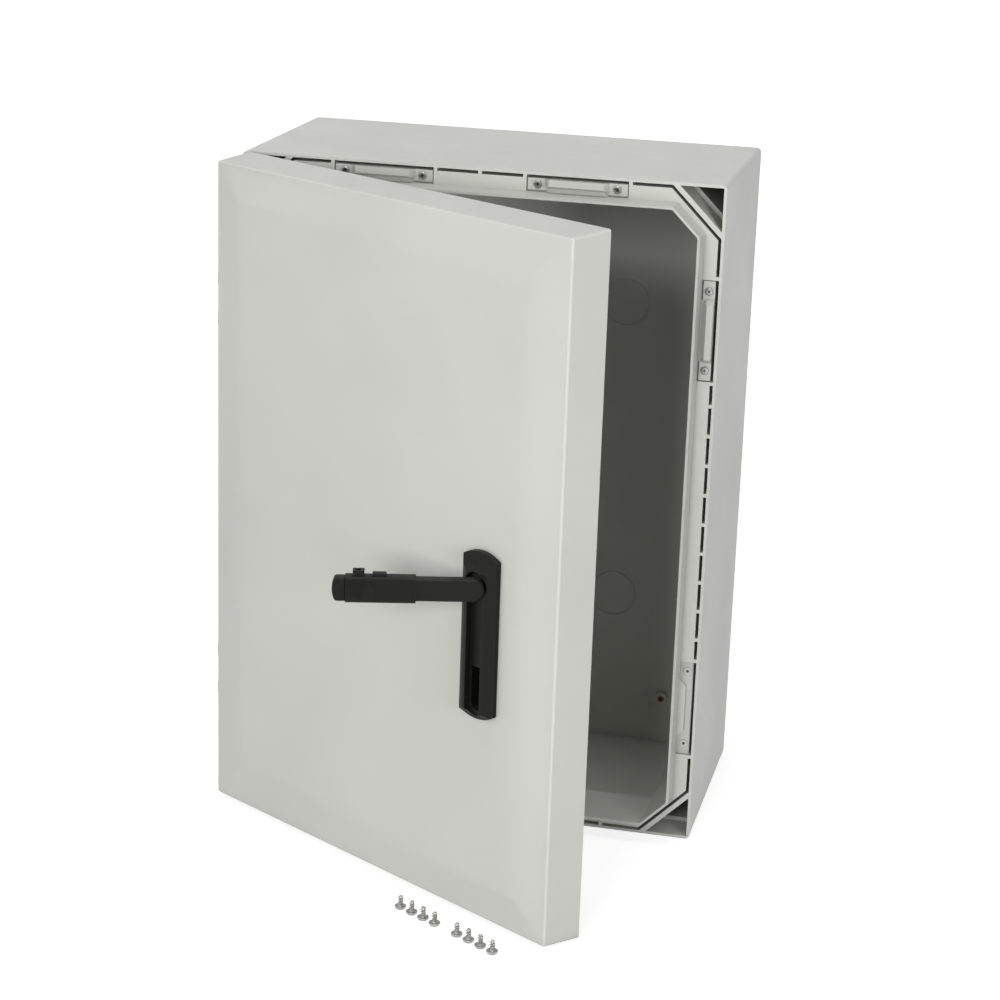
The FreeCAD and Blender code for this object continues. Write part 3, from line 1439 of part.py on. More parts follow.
def make_sleeve():
    """Thicker grip over the lever's end, with ribs, a lock lug and the catch underneath."""
    body = new_body("grip_sleeve")
    half = size("sleeve_half_width")
    start = hub_z - size("sleeve_start")
    end = hub_z - size("sleeve_end")
    block = front_sketch(body, "block", sleeve_back)
    outline(block, [
        (hub_x - half, end), (hub_x + half, end), (hub_x + half, start + 0.0),
        (hub_x - half, start),
    ])
    pad(body, block, size("sleeve_thickness"))
    back_line = -sleeve_back.value
    front_line = -sleeve_front.value

    def long_edge(edge):
        box = edge.BoundBox
        flat = near(box.YMin, box.YMax)
        at_face = near(box.YMin, front_line) or near(box.YMin, back_line)
        return flat and at_face and box.ZLength > 20

    round_edges(body, size("lever_round"), long_edge)
    middle = (lever_back + lever_front) / 2
    clear = size("fit_clearance")
    socket = front_sketch(body, "socket", middle - size("tenon_thickness") / 2 - clear)
    rectangle(socket, hub_x - size("tenon_half_width") - clear,
              start - size("tenon_length") - clear, hub_x + size("tenon_half_width") + clear,
              start + 1)
    pocket(body, socket, size("tenon_thickness") + clear * 2, along_normal=True)

    grooves = front_sketch(body, "grooves", sleeve_front)
    width = size("grip_groove")
    count = int(round(size("grip_grooves").value))
    for number in range(count):
        low = end + 2 + size("groove_pitch") * number
        rectangle(grooves, hub_x - half + 3.4, low, hub_x + half - 3.4, low + width)
    pocket(body, grooves, as_size(0.7))

    catch = front_sketch(body, "catch", sleeve_back)
    side = size("catch_half_width")
    rectangle(catch, hub_x - side, hub_z - size("catch_end"), hub_x + side,
              hub_z - size("catch_start"))
    pad(body, catch, size("catch_drop"), backward=True)

    lug = side_sketch(body, "lug", hub_x - half + 1)
    deep = size("lug_half_depth")
    centre = (sleeve_back + sleeve_front) / 2
    rectangle(lug, -(centre + deep), hub_z - size("lug_end"), -(centre - deep),
              hub_z - size("lug_start"))
    pad(body, lug, size("lug_rise") + 1, backward=True)
    hole = side_sketch(body, "lug_hole", hub_x - half - size("lug_rise"))
    circle(hole, (-centre, hub_z - (size("lug_start") + size("lug_end")) / 2), size("lug_hole"))
    pocket(body, hole, as_size(6), along_normal=True)
    body.Placement = lever_place
    return body


def make_cap():
    body = new_body("grip_end_cap")
    inset = size("cap_inset")
    half = size("sleeve_half_width") - inset
    start = hub_z - size("sleeve_end")
    end = hub_z - size("cap_end")
    bulge = as_size(3)
    radius = (half * half + bulge * bulge) / (bulge * 2)
    block = front_sketch(body, "block", sleeve_back + inset)
    outline(block, [
        (hub_x - half, end + bulge), (hub_x + half, end + bulge), (hub_x + half, start),
        (hub_x - half, start),
    ], {0: radius})
    pad(body, block, size("sleeve_thickness") - inset * 2)
    round_edges(body, size("lever_round") - inset,
                lambda edge: edge.BoundBox.ZMin < start.value - 1)
    body.Placement = lever_place
    return body


def make_slider():
    """Thumb slider on the grip's side."""
    body = new_body("thumb_slider")
    half = size("sleeve_half_width")
    deep = size("slider_half_depth")
    centre = (sleeve_back + sleeve_front) / 2
    base = hub_x - half - size("fit_clearance")
    block = side_sketch(body, "block", base)
    rectangle(block, -(centre + deep), hub_z - size("slider_end"), -(centre - deep),
              hub_z - size("slider_start"))
    pad(body, block, size("slider_rise"), backward=True, taper=as_size(-18))
    body.Placement = lever_place
    return body


# Threaded inserts and loose screws

def make_inserts():
    rings = []
    length = size("insert_length").value
    top = (size("rear_wall") + size("pillar_height")).value
    outer = size("insert_radius").value
    bore = size("insert_bore").value
    for right, up in corner_signs():
        place = (size("pillar_x").value * right, size("pillar_z").value * up)
        rings.append(turned_solid([(bore, top - length), (outer, top - length), (outer, top),
                                   (bore, top)], place))
    return plain_feature("pillar_inserts", Part.makeCompound(rings))


def make_loose_screws():
    """Eight fixing screws that stand on their heads in two groups of four before the door."""
    floor = -half_height.value
    head = size("screw_head_radius").value
    shank = size("screw_shank_radius").value
    flange = size("screw_flange").value
    dome = size("screw_dome").value
    top = size("screw_length").value
    profile = [
        (0, 0), (head * 0.55, 0), (head * 0.78, dome * 0.45), (head * 0.82, dome), (head, dome),
        (head, dome + flange), (shank, dome + flange), (shank, top - 2), (shank * 0.35, top),
        (0, top),
    ]
    points = [Vector(radius, 0, height) for radius, height in profile]
    face = Part.Face(Part.makePolygon(points + points[:1]))
    screws = []
    for number in range(8):
        along = size("screw_row_start").value + size("screw_pitch").value * number
        if number > 3:
            along += size("screw_group_gap").value - size("screw_pitch").value
        place = Vector(along - door_half_x.value, -(rim + size("screw_row_distance")).value, 0)
        place = door_place.multVec(place)
        screw = face.revolve(Vector(0, 0, 0), Vector(0, 0, 1), 360)
        screw.translate(Vector(place.x, place.y, floor))
        screws.append(screw)
    return plain_feature("fixing_screws", Part.makeCompound(screws))


# Build, check and write

def build_all():
    pieces = [make_base()]
    pieces += [make_striker(label) for label in STRIKER_SEATS]
    pieces.append(make_striker_screws())
    pieces.append(make_hinge_plate("hinge_plate_upper", 1))
    pieces.append(make_hinge_plate("hinge_plate_lower", -1))
    pieces.append(make_hinge_plate_screws())
    pieces.append(make_inserts())
    pieces.append(make_loose_screws())
    pieces.append(make_door_shell())
    pieces.append(make_hinge_pin("hinge_pin_upper", 1))
    pieces.append(make_hinge_pin("hinge_pin_lower", -1))
    pieces.append(make_liner())
    pieces.append(make_gasket())
    pieces.append(make_liner_screws())
    pieces.append(make_vertical_rod("upper_rod", 1))
    pieces.append(make_vertical_rod("lower_rod", -1))
    pieces.append(make_side_rod())
    pieces.append(make_hook("upper_hook", "top"))
    pieces.append(make_hook("lower_hook", "bottom"))
    pieces.append(make_hook("side_hook", "right"))
    pieces += [make_guide(label) for label in GUIDES]
    pieces.append(make_guide_screws())
    pieces.append(make_cam())
    pieces.append(make_yoke())
    pieces.append(make_bush())
    pieces.append(make_cam_washer())
    pieces.append(make_cam_screw())
    pieces.append(make_escutcheon())
    pieces.append(make_escutcheon_seal())
    pieces.append(make_escutcheon_screws())
    pieces.append(make_lever())
    pieces.append(make_lever_pin())
    pieces.append(make_sleeve())
    pieces.append(make_cap())
    pieces.append(make_slider())
    return pieces


def check(pieces):
    failed = [item.Label for item in doc.Objects
              if "Invalid" in item.State or "Error" in item.State]
    if failed:
        raise RuntimeError("these did not build: %s" % ", ".join(failed))
    faulty = [piece.Label for piece in pieces
              if piece.Shape.isNull() or not piece.Shape.isValid() or not piece.Shape.Solids]
    if faulty:
        raise RuntimeError("no valid solid in: %s" % ", ".join(faulty))


def main():
    pieces = build_all()
    doc.recompute()
    check(pieces)
    os.makedirs("parts", exist_ok=True)
    for piece in pieces:
        piece.Shape.exportStep("parts/%s.step" % piece.Label)
        print("%-24s %2d solid(s) %12.1f mm3" % (
            piece.Label, len(piece.Shape.Solids), piece.Shape.Volume))


main()
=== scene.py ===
"""Looks of a polycarbonate wall cabinet: its finishes, screws, seal, studio light and camera."""
import json
import math
import random

import bmesh
import bpy
from mathutils import Matrix, Vector


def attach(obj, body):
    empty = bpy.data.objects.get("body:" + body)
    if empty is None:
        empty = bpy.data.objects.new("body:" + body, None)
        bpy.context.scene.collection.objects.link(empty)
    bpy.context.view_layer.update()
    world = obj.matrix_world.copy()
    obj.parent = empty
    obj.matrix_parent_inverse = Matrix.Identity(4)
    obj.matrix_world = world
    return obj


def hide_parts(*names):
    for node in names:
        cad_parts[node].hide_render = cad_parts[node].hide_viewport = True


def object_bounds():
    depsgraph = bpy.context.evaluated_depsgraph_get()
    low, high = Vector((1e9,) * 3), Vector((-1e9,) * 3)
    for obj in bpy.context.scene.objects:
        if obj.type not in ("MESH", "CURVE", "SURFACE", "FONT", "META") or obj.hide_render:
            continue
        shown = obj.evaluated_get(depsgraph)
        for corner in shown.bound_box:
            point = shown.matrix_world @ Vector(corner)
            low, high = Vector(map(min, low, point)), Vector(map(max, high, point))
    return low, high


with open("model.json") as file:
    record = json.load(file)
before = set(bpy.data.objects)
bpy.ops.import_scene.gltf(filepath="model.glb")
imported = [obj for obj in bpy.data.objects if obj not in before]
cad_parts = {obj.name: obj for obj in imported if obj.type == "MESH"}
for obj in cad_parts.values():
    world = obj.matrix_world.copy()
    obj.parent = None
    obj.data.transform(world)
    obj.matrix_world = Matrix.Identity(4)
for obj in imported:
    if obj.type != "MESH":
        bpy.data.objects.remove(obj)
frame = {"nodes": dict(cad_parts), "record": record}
cad_box = [list(corner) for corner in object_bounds()]

NODES = frame["nodes"]
SLOT_OF = {piece["node"]: piece["material_slot"] for piece in frame["record"]["subparts"]}
MM = 0.001

# The door stands ajar: its closed place is turned about the hinge line.
HINGE_LINE = Vector((-0.244, -0.2635, 0.0))
OPEN_ANGLE = math.radians(31.2)
DOOR_PLACE = (Matrix.Translation(HINGE_LINE) @ Matrix.Rotation(-OPEN_ANGLE, 4, "Z")
              @ Matrix.Translation(-HINGE_LINE))


# Node trees

class Recipe:
    """A node tree in the making: add() places a node and fills or joins its sockets."""

    def __init__(self, tree):
        self.tree = tree

    def add(self, kind, sockets=None, **settings):
        node = self.tree.nodes.new("ShaderNode" + kind)
        for key, value in settings.items():
            setattr(node, key, value)
        for key, value in (sockets or {}).items():
            if isinstance(value, bpy.types.NodeSocket):
                self.tree.links.new(value, node.inputs[key])
            else:
                node.inputs[key].default_value = value
        return node

    def group(self, tree, **sockets):
        """Node group with its own values; an underscore stands for a space in a socket's name."""
        node = self.tree.nodes.new("ShaderNodeGroup")
        node.node_tree = tree
        for key, value in sockets.items():
            node.inputs[key.replace("_", " ")].default_value = value
        return node

    def join(self, socket, target):
        self.tree.links.new(socket, target)

    def math(self, operation, *values, clamp=False):
        node = self.add("Math", dict(enumerate(values)), operation=operation, use_clamp=clamp)
        return node.outputs[0]

    def blend(self, amount, first, second):
        """Colour that goes from the first to the second as the amount goes from 0 to 1."""
        node = self.add("Mix", {0: amount, 6: first, 7: second}, data_type="RGBA")
        return node.outputs[2]

    def spread(self, value, low, high, new_low=0.0, new_high=1.0):
        """Value from low to high stretched over the new range, and held at its ends."""
        node = self.add("MapRange", {"Value": value, "From Min": low, "From Max": high,
                                     "To Min": new_low, "To Max": new_high})
        return node.outputs["Result"]

    def place(self):
        return self.add("TexCoord").outputs["Object"]

    def noise(self, scale, detail=2.0, place=None, roughness=0.5):
        node = self.add("TexNoise", {"Vector": place or self.place(), "Scale": scale,
                                     "Detail": detail, "Roughness": roughness})
        return node.outputs["Fac"]

    def seen_directly(self):
        """1 for what the camera sees, also in a mirror or through glass, and 0 for lighting."""
        path = self.add("LightPath").outputs
        seen = self.math("MAXIMUM", path["Is Camera Ray"], path["Is Glossy Ray"])
        return self.math("MAXIMUM", seen, path["Is Transmission Ray"])


def new_group(name, inputs, outputs):
    """Empty node group; gives its recipe, its input sockets and its output sockets."""
    tree = bpy.data.node_groups.new(name, "ShaderNodeTree")
    for label, start in inputs:
        socket = tree.interface.new_socket(label, in_out="INPUT", socket_type="NodeSocketFloat")
        socket.default_value = start
    for label in outputs:
        tree.interface.new_socket(label, in_out="OUTPUT", socket_type="NodeSocketFloat")
    given = tree.nodes.new("NodeGroupInput").outputs
    out = tree.nodes.new("NodeGroupOutput").inputs
    return Recipe(tree), given, out


def make_moulded_skin():
    """Fine mould grain over slow waves, with a slow drift of tone."""
    recipe, given, out = new_group("moulded_skin", [("Grain Size", 900.0), ("Wave Size", 7.0)],
                                   ["Height", "Shine", "Tone"])
    grain = recipe.noise(given["Grain Size"], detail=3.0)
    waves = recipe.noise(given["Wave Size"], detail=1.0)
    drift = recipe.noise(11.0, detail=4.0, roughness=0.6)
    recipe.join(recipe.math("ADD", recipe.math("MULTIPLY", grain, 0.35), waves), out["Height"])
    recipe.join(recipe.spread(drift, 0.3, 0.7, -1.0, 1.0), out["Shine"])
    recipe.join(recipe.spread(waves, 0.32, 0.68), out["Tone"])
    return recipe.tree


def make_worn_edges():
    """Mask of the outer edges, broken up by noise."""
    recipe, given, out = new_group("worn_edges", [("Reach", 0.0012), ("Amount", 1.0)], ["Mask"])
    rounded = recipe.add("Bevel", {"Radius": given["Reach"]}, samples=4).outputs[0]
    true = recipe.add("NewGeometry").outputs["Normal"]
    likeness = recipe.add("VectorMath", {0: rounded, 1: true}, operation="DOT_PRODUCT")
    edge = recipe.spread(likeness.outputs["Value"], 0.995, 0.86)
    patches = recipe.spread(recipe.noise(60.0, detail=5.0), 0.38, 0.62)
    mask = recipe.math("MULTIPLY", edge, patches)
    recipe.join(recipe.math("MULTIPLY", mask, given["Amount"], clamp=True), out["Mask"])
    return recipe.tree


def make_settled_dust():
    """Mask of faces that look up, in soft patches."""
    recipe, given, out = new_group("settled_dust", [("Amount", 0.3), ("Patch Size", 24.0)],
                                   ["Mask"])
    normal = recipe.add("SeparateXYZ", {0: recipe.add("NewGeometry").outputs["Normal"]})
    facing = recipe.spread(normal.outputs["Z"], 0.35, 0.98)
    clouds = recipe.noise(given["Patch Size"], detail=6.0, roughness=0.65)
    patches = recipe.spread(clouds, 0.35, 0.75)
    mask = recipe.math("MULTIPLY", facing, patches)
    recipe.join(recipe.math("MULTIPLY", mask, given["Amount"], clamp=True), out["Mask"])
    return recipe.tree


def make_fine_scuffs():
    """Short thin scuffs in two directions, for roughness and height."""
    recipe, given, out = new_group("fine_scuffs", [("Length", 26.0), ("Amount", 1.0)], ["Mask"])
    families = []
    for turn, narrowness in ((0.5, 14.0), (1.9, 19.0)):
        turned = recipe.add("Mapping", {"Vector": recipe.place(),
                                        "Rotation": (turn, turn * 0.7, turn),
                                        "Scale": (1.0, narrowness, 1.0)})
        streaks = recipe.noise(given["Length"], detail=2.0, place=turned.outputs[0])
        families.append(recipe.spread(streaks, 0.66, 0.76))
    scuffs = recipe.math("MAXIMUM", *families)
    recipe.join(recipe.math("MULTIPLY", scuffs, given["Amount"], clamp=True), out["Mask"])
    return recipe.tree


def make_drawn_metal():
    """Fine lines drawn along the vertical, with slow clouds in the plating."""
    recipe, given, out = new_group("drawn_metal", [("Line Size", 500.0)],
                                   ["Height", "Shine", "Clouds"])
    drawn = recipe.add("Mapping", {"Vector": recipe.place(), "Scale": (1.0, 1.0, 0.03)})
    lines = recipe.noise(given["Line Size"], detail=3.0, place=drawn.outputs[0])
    clouds = recipe.noise(90.0, detail=4.0, roughness=0.6)
    recipe.join(lines, out["Height"])
    recipe.join(recipe.spread(lines, 0.3, 0.7, -1.0, 1.0), out["Shine"])
    recipe.join(recipe.spread(clouds, 0.35, 0.68), out["Clouds"])
    return recipe.tree


def make_shaded_corners():
    """Mask of inner corners and deep recesses, for painted shade: the colour is darkened where
    shade falls.
    """
    recipe, given, out = new_group("shaded_corners", [("Reach", 0.02), ("Amount", 0.5)], ["Mask"])
    hidden = recipe.add("AmbientOcclusion", {"Distance": given["Reach"]}, samples=6)
    mask = recipe.spread(hidden.outputs["AO"], 0.75, 0.25)
    recipe.join(recipe.math("MULTIPLY", mask, given["Amount"], clamp=True), out["Mask"])
    return recipe.tree


SKIN = make_moulded_skin()
EDGES = make_worn_edges()
DUST = make_settled_dust()
SCUFFS = make_fine_scuffs()
DRAWN = make_drawn_metal()
CORNER_SHADE = make_shaded_corners()


# Finishes

LIGHT_DUST = (0.52, 0.51, 0.48, 1.0)
DARK_DUST = (0.4, 0.39, 0.37, 1.0)
RUBBED_BLACK = (0.09, 0.09, 0.085, 1.0)


def start_finish(name):
    material = bpy.data.materials.new(name)
    material.use_nodes = True
    material.node_tree.nodes.clear()
    recipe = Recipe(material.node_tree)
    shader = recipe.add("BsdfPrincipled")
    leave = recipe.add("OutputMaterial")
    recipe.join(shader.outputs[0], leave.inputs["Surface"])
    return material, recipe, shader.inputs


def tint(colour, factor):
    return tuple(min(channel * factor, 1.0) for channel in colour[:3]) + (1.0,)


def plastic(name, colour, roughness, grain=900.0, bump=0.00004, dust=0.2, wear=0.35, painted_shade=0.6,
            specular=0.5, tone=0.022, scuffs=0.3, rubbed=None):
    """Moulded plastic with mould grain, a drift of tone, painted shade in corners and recesses,
    dust on top and rubbed edges.
    """
    material, recipe, surface = start_finish(name)
    skin = recipe.group(SKIN, Grain_Size=grain).outputs
    edges = recipe.group(EDGES, Amount=wear).outputs["Mask"]
    dusty = recipe.group(DUST, Amount=dust).outputs["Mask"]
    marks = recipe.group(SCUFFS, Amount=scuffs).outputs["Mask"]
    corners = recipe.group(CORNER_SHADE, Amount=painted_shade).outputs["Mask"]

    body = recipe.blend(skin["Tone"], tint(colour, 1.0 - tone), tint(colour, 1.0 + tone))
    # Painted shade: inner corners and recesses are darkened in the base colour.
    body = recipe.blend(corners, body, tint(colour, 0.42))
    body = recipe.blend(edges, body, rubbed or tint(colour, 1.25))
    body = recipe.blend(dusty, body, LIGHT_DUST)
    recipe.join(body, surface["Base Color"])

    rough = recipe.math("MULTIPLY_ADD", skin["Shine"], 0.035, roughness)
    rough = recipe.math("ADD", rough, recipe.math("MULTIPLY", marks, 0.12))
    rough = recipe.math("ADD", rough, recipe.math("MULTIPLY", dusty, 0.4), clamp=True)
    recipe.join(rough, surface["Roughness"])

    height = recipe.math("SUBTRACT", skin["Height"], recipe.math("MULTIPLY", marks, 0.12))
    relief = recipe.add("Bump", {"Height": height, "Distance": bump, "Strength": 0.6})
    recipe.join(relief.outputs[0], surface["Normal"])
    surface["Specular IOR Level"].default_value = specular
    return material


def metal(name, colour, roughness, lines=500.0, dull_and_shade=0.35, spots=(0.32, 0.31, 0.29, 1.0)):
    """Drawn or plated metal with fine lines, cloudy plating, painted shade in recesses and thread
    grooves, and bright edges.
    """
    material, recipe, surface = start_finish(name)
    drawn = recipe.group(DRAWN, Line_Size=lines).outputs
    edges = recipe.group(EDGES, Reach=0.0005, Amount=0.6).outputs["Mask"]
    corners = recipe.group(CORNER_SHADE, Reach=0.0016, Amount=dull_and_shade * 4.4).outputs["Mask"]

    body = recipe.blend(recipe.math("MULTIPLY", drawn["Clouds"], dull_and_shade), colour, spots)
    # Painted shade: recesses and thread grooves are darkened in the base colour.
    body = recipe.blend(corners, body, tint(colour, 0.1))
    body = recipe.blend(edges, body, tint(colour, 1.4))
    recipe.join(body, surface["Base Color"])

    rough = recipe.math("MULTIPLY_ADD", drawn["Shine"], 0.06, roughness)
    rough = recipe.math("ADD", rough, recipe.math("MULTIPLY", drawn["Clouds"], 0.08), clamp=True)
    recipe.join(rough, surface["Roughness"])

    relief = recipe.add("Bump", {"Height": drawn["Height"], "Distance": 0.00002,
                                 "Strength": 0.5})
    recipe.join(relief.outputs[0], surface["Normal"])
    surface["Metallic"].default_value = 1.0
    return material


def foam(name, colour):
    """Foamed-in-place seal: tiny open pores in a soft dark skin."""
    material, recipe, surface = start_finish(name)
    pores = recipe.add("TexVoronoi", {"Vector": recipe.place(), "Scale": 1400.0})
    walls = recipe.spread(pores.outputs["Distance"], 0.05, 0.4)
    clouds = recipe.spread(recipe.noise(80.0, detail=4.0), 0.3, 0.7)
    dusty = recipe.group(DUST, Amount=0.25).outputs["Mask"]

    body = recipe.blend(clouds, tint(colour, 0.85), tint(colour, 1.2))
    # Painted shade: the pore hollows are darkened in the base colour, on top of their bump.
    body = recipe.blend(walls, tint(colour, 0.45), body)
    body = recipe.blend(dusty, body, DARK_DUST)
    recipe.join(body, surface["Base Color"])

    relief = recipe.add("Bump", {"Height": walls, "Distance": 0.0002, "Strength": 0.8})
    recipe.join(relief.outputs[0], surface["Normal"])
    recipe.join(recipe.spread(clouds, 0.0, 1.0, 0.82, 0.95), surface["Roughness"])
    return material


SHELL_GREY = (0.600, 0.605, 0.565, 1.0)
HANDLE_BLACK = (0.0085, 0.0085, 0.0078, 1.0)
HANDLED = {"wear": 0.25, "tone": 0.12, "dust": 0.03, "painted_shade": 0.4, "specular": 0.16,
           "rubbed": RUBBED_BLACK}
FINISHES = {
    "grey_shell": plastic("polycarbonate_grey", SHELL_GREY, 0.40),
    "grey_liner": plastic("liner_grey", tint(SHELL_GREY, 0.97), 0.46, grain=700.0),
    "grey_fittings": plastic("glass_filled_grey", tint(SHELL_GREY, 0.93), 0.48, grain=1300.0,
                             bump=0.00007, tone=0.06),
    "black_handle": plastic("handle_black", HANDLE_BLACK, 0.45, grain=1500.0, bump=0.00006,
                            **HANDLED),
    "black_grip": plastic("grip_black", HANDLE_BLACK, 0.50, grain=1800.0, bump=0.00008,
                          **HANDLED),
    "white_nylon": plastic("nylon_white", (0.70, 0.69, 0.65, 1.0), 0.45, grain=1100.0, dust=0.1),
    "foam_gasket": foam("seal_foam", (0.045, 0.045, 0.047, 1.0)),
    "steel_fixings": metal("screw_steel", (0.46, 0.455, 0.435, 1.0), 0.26, dull_and_shade=0.6),
    "zinc_plated_steel": metal("zinc_plate", (0.62, 0.63, 0.64, 1.0), 0.34, lines=350.0,
                               dull_and_shade=0.5, spots=(0.45, 0.46, 0.48, 1.0)),
    "brass": metal("insert_brass", (0.34, 0.265, 0.15, 1.0), 0.38,
                   spots=(0.2, 0.155, 0.09, 1.0)),
}


# Moulded pieces: rounded edges

SAME_POINT = 0.002 * MM

# Width of the rounded edges in millimetres, and the nodes that have it.
SOFT_EDGES = {
    0.9: ("handle_lever",),
    0.8: ("enclosure_base", "grip_sleeve", "grip_end_cap"),
    0.7: ("handle_escutcheon",),
    0.5: ("door_liner",),
    0.4: ("thumb_slider", "handle_yoke"),
    0.35: ("striker_top_left", "striker_top_right", "striker_bottom_left",
           "striker_bottom_right", "striker_right_upper", "hinge_plate_upper",
           "hinge_plate_lower"),
    0.3: ("upper_hook", "lower_hook", "side_hook", "upper_rod", "lower_rod", "side_rod",
          "cam_disc"),
    0.2: ("escutcheon_seal",),
}


def join_points(node):
    weld = node.modifiers.new("weld", "WELD")
    weld.merge_threshold = SAME_POINT


def round_edges(node, width):
    """Round the CAD node's sharp edges a little, as a mould leaves them."""
    flat = node.modifiers.new("whole_faces", "DECIMATE")
    flat.decimate_type = "DISSOLVE"
    flat.angle_limit = math.radians(0.6)
    rounding = node.modifiers.new("soft_edges", "BEVEL")
    rounding.limit_method = "ANGLE"
    rounding.angle_limit = math.radians(32.0)
    rounding.width = width
    rounding.segments = 2
    rounding.use_clamp_overlap = True


def even_shading(node):
    """Let the large faces set the shading, so flat walls stay flat beside rounded edges."""
    weighted = node.modifiers.new("even_shading", "WEIGHTED_NORMAL")
    weighted.mode = "FACE_AREA"
    weighted.weight = 100
    weighted.keep_sharp = False


for node_name, node in NODES.items():
    node.data.materials.clear()
    node.data.materials.append(FINISHES[SLOT_OF[node_name]])

for width, names in SOFT_EDGES.items():
    for node_name in names:
        join_points(NODES[node_name])
        round_edges(NODES[node_name], width * MM)
        even_shading(NODES[node_name])

# The door's mesh already has its rounded edges.
join_points(NODES["door_shell"])
even_shading(NODES["door_shell"])


# Detailed pieces

UNTURNED = Matrix.Identity(4)


def solid_boxes(node_name, place=UNTURNED):
    """Box of each separate solid of a node, in the axes that the place stands for."""
    mesh = bmesh.new()
    mesh.from_mesh(NODES[node_name].data)
    bmesh.ops.remove_doubles(mesh, verts=mesh.verts, dist=SAME_POINT)
    back = place.inverted()
    waiting = set(mesh.verts)
    boxes = []
    while waiting:
        first = waiting.pop()
        found, border = [first], [first]
        while border:
            for edge in border.pop().link_edges:
                for vert in edge.verts:
                    if vert in waiting:
                        waiting.discard(vert)
                        found.append(vert)
                        border.append(vert)
        points = [back @ vert.co for vert in found]
        low = Vector([min(point[axis] for point in points) for axis in range(3)])
        high = Vector([max(point[axis] for point in points) for axis in range(3)])
        boxes.append((low, high))
    mesh.free()
    boxes.sort(key=lambda box: tuple(round(value, 5) for value in box[0]))
    return boxes


def finish_mesh(mesh, name, sharp=35.0):
    """Mesh data with smooth faces, and sharp edges where faces meet by more than the angle."""
    bmesh.ops.recalc_face_normals(mesh, faces=mesh.faces)
    data = bpy.data.meshes.new(name)
    mesh.to_mesh(data)
    mesh.free()
    for face in data.polygons:
        face.use_smooth = True
    data.set_sharp_from_angle(angle=math.radians(sharp))
    return data


def add_piece(name, mesh, body, replaced, slot):
    piece = bpy.data.objects.new(name, mesh)
    bpy.context.scene.collection.objects.link(piece)
    mesh.materials.append(FINISHES[slot])
    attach(piece, body)
    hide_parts(replaced)
    return piece


def ring(mesh, radius, height, steps):
    return [mesh.verts.new((radius * math.cos(math.tau * step / steps),
                            radius * math.sin(math.tau * step / steps), height))
            for step in range(steps)]


def bridge(mesh, first, second):
    """Faces between two closed rows of points."""
    count = len(first)
    for step in range(count):
        after = (step + 1) % count
        mesh.faces.new((first[step], first[after], second[after], second[step]))


def copies(template, places, name):
    """One mesh that holds the template once at each place."""
    mesh = bmesh.new()
    for place in places:
        known = len(mesh.verts)
        mesh.from_mesh(template)
        mesh.verts.ensure_lookup_table()
        bmesh.ops.transform(mesh, matrix=place, verts=mesh.verts[known:])
    data = bpy.data.meshes.new(name)
    mesh.to_mesh(data)
    mesh.free()
    return data


# Crossed screws: head radius, head height, shank radius and shank length.
FRAME_SCREW = (4.1 * MM, 2.2 * MM, 1.4 * MM, 11.5 * MM)
PANEL_SCREW = (3.6 * MM, 1.6 * MM, 1.2 * MM, 8 * MM)

# Dome of the pan head: shares of the head's radius and height.
PAN_DOME = ((0.97, 0.0), (1.0, 0.12), (1.0, 0.42), (0.95, 0.66), (0.84, 0.86), (0.68, 0.98),
            (0.6, 1.0))


def crossed_screw(head_radius, head_height, shank_radius, shank_length):
    """Pan-head screw, head upwards, seat at height 0, with a driver recess of four arms."""
    mesh = bmesh.new()
    profile = [(shank_radius * 0.4, -shank_length), (shank_radius, -shank_length * 0.8),
               (shank_radius, 0.0)]
    profile += [(head_radius * across, head_height * up) for across, up in PAN_DOME]
    rings = [ring(mesh, radius, height, 36) for radius, height in profile]
    mesh.faces.new(rings[0])
    for first, second in zip(rings, rings[1:]):
        bridge(mesh, first, second)

    def cross(reach, half, height):
        """Outline of the four arms: each has an inner corner and two outer ones."""
        corners = []
        for quarter in range(4):
            turn = Matrix.Rotation(quarter * math.pi / 2, 2)
            for x, y in ((half, -half), (reach, -half * 0.8), (reach, half * 0.8)):
                spot = turn @ Vector((x, y))
                corners.append(mesh.verts.new((spot.x, spot.y, height)))
        return corners

    mouth = cross(head_radius * 0.5, head_radius * 0.13, head_height)
    floor = cross(head_radius * 0.3, head_radius * 0.09, head_height * 0.4)
    count = len(mouth)
    mouth_edges = [mesh.edges.new((mouth[step], mouth[(step + 1) % count]))
                   for step in range(count)]
    dome_edges = [edge for edge in mesh.edges
                  if edge.verts[0] in rings[-1] and edge.verts[1] in rings[-1]]
    bmesh.ops.triangle_fill(mesh, use_beauty=True, edges=mouth_edges + dome_edges)
    bridge(mesh, mouth, floor)
    point = mesh.verts.new((0.0, 0.0, head_height * 0.22))
    for step in range(count):
        mesh.faces.new((floor[step], floor[(step + 1) % count], point))
    return finish_mesh(mesh, "crossed_screw")


def add_crossed_screws(name, node_name, body, sizes, to_front=True, place=UNTURNED):
    """Screws with a real driver recess in place of the plain ones, each turned at random."""
    template = crossed_screw(*sizes)
    head_height = sizes[1]
    chance = random.Random(node_name)
    upright = Matrix.Rotation(math.pi / 2 * (1 if to_front else -1), 4, "X")
    places = []
    for low, high in solid_boxes(node_name, place):
        seat = low.y + head_height if to_front else high.y - head_height
        spot = Vector(((low.x + high.x) / 2, seat, (low.z + high.z) / 2))
        turn = Matrix.Rotation(chance.uniform(0, math.pi), 4, "Z")
        places.append(place @ Matrix.Translation(spot) @ upright @ turn)
    add_piece(name, copies(template, places, name), body, node_name, "steel_fixings")


# Loose fixing screw: it stands on its head, and its heights are above the floor.
FLANGE_RADIUS = 5.8 * MM
CORE_RADIUS = 1.45 * MM
CREST_RADIUS = 2.9 * MM
THREAD_PITCH = 2.6 * MM
THREAD_START = 4.2 * MM
THREAD_LEAD = 0.3 * MM
SCREW_TOP = 14.2 * MM

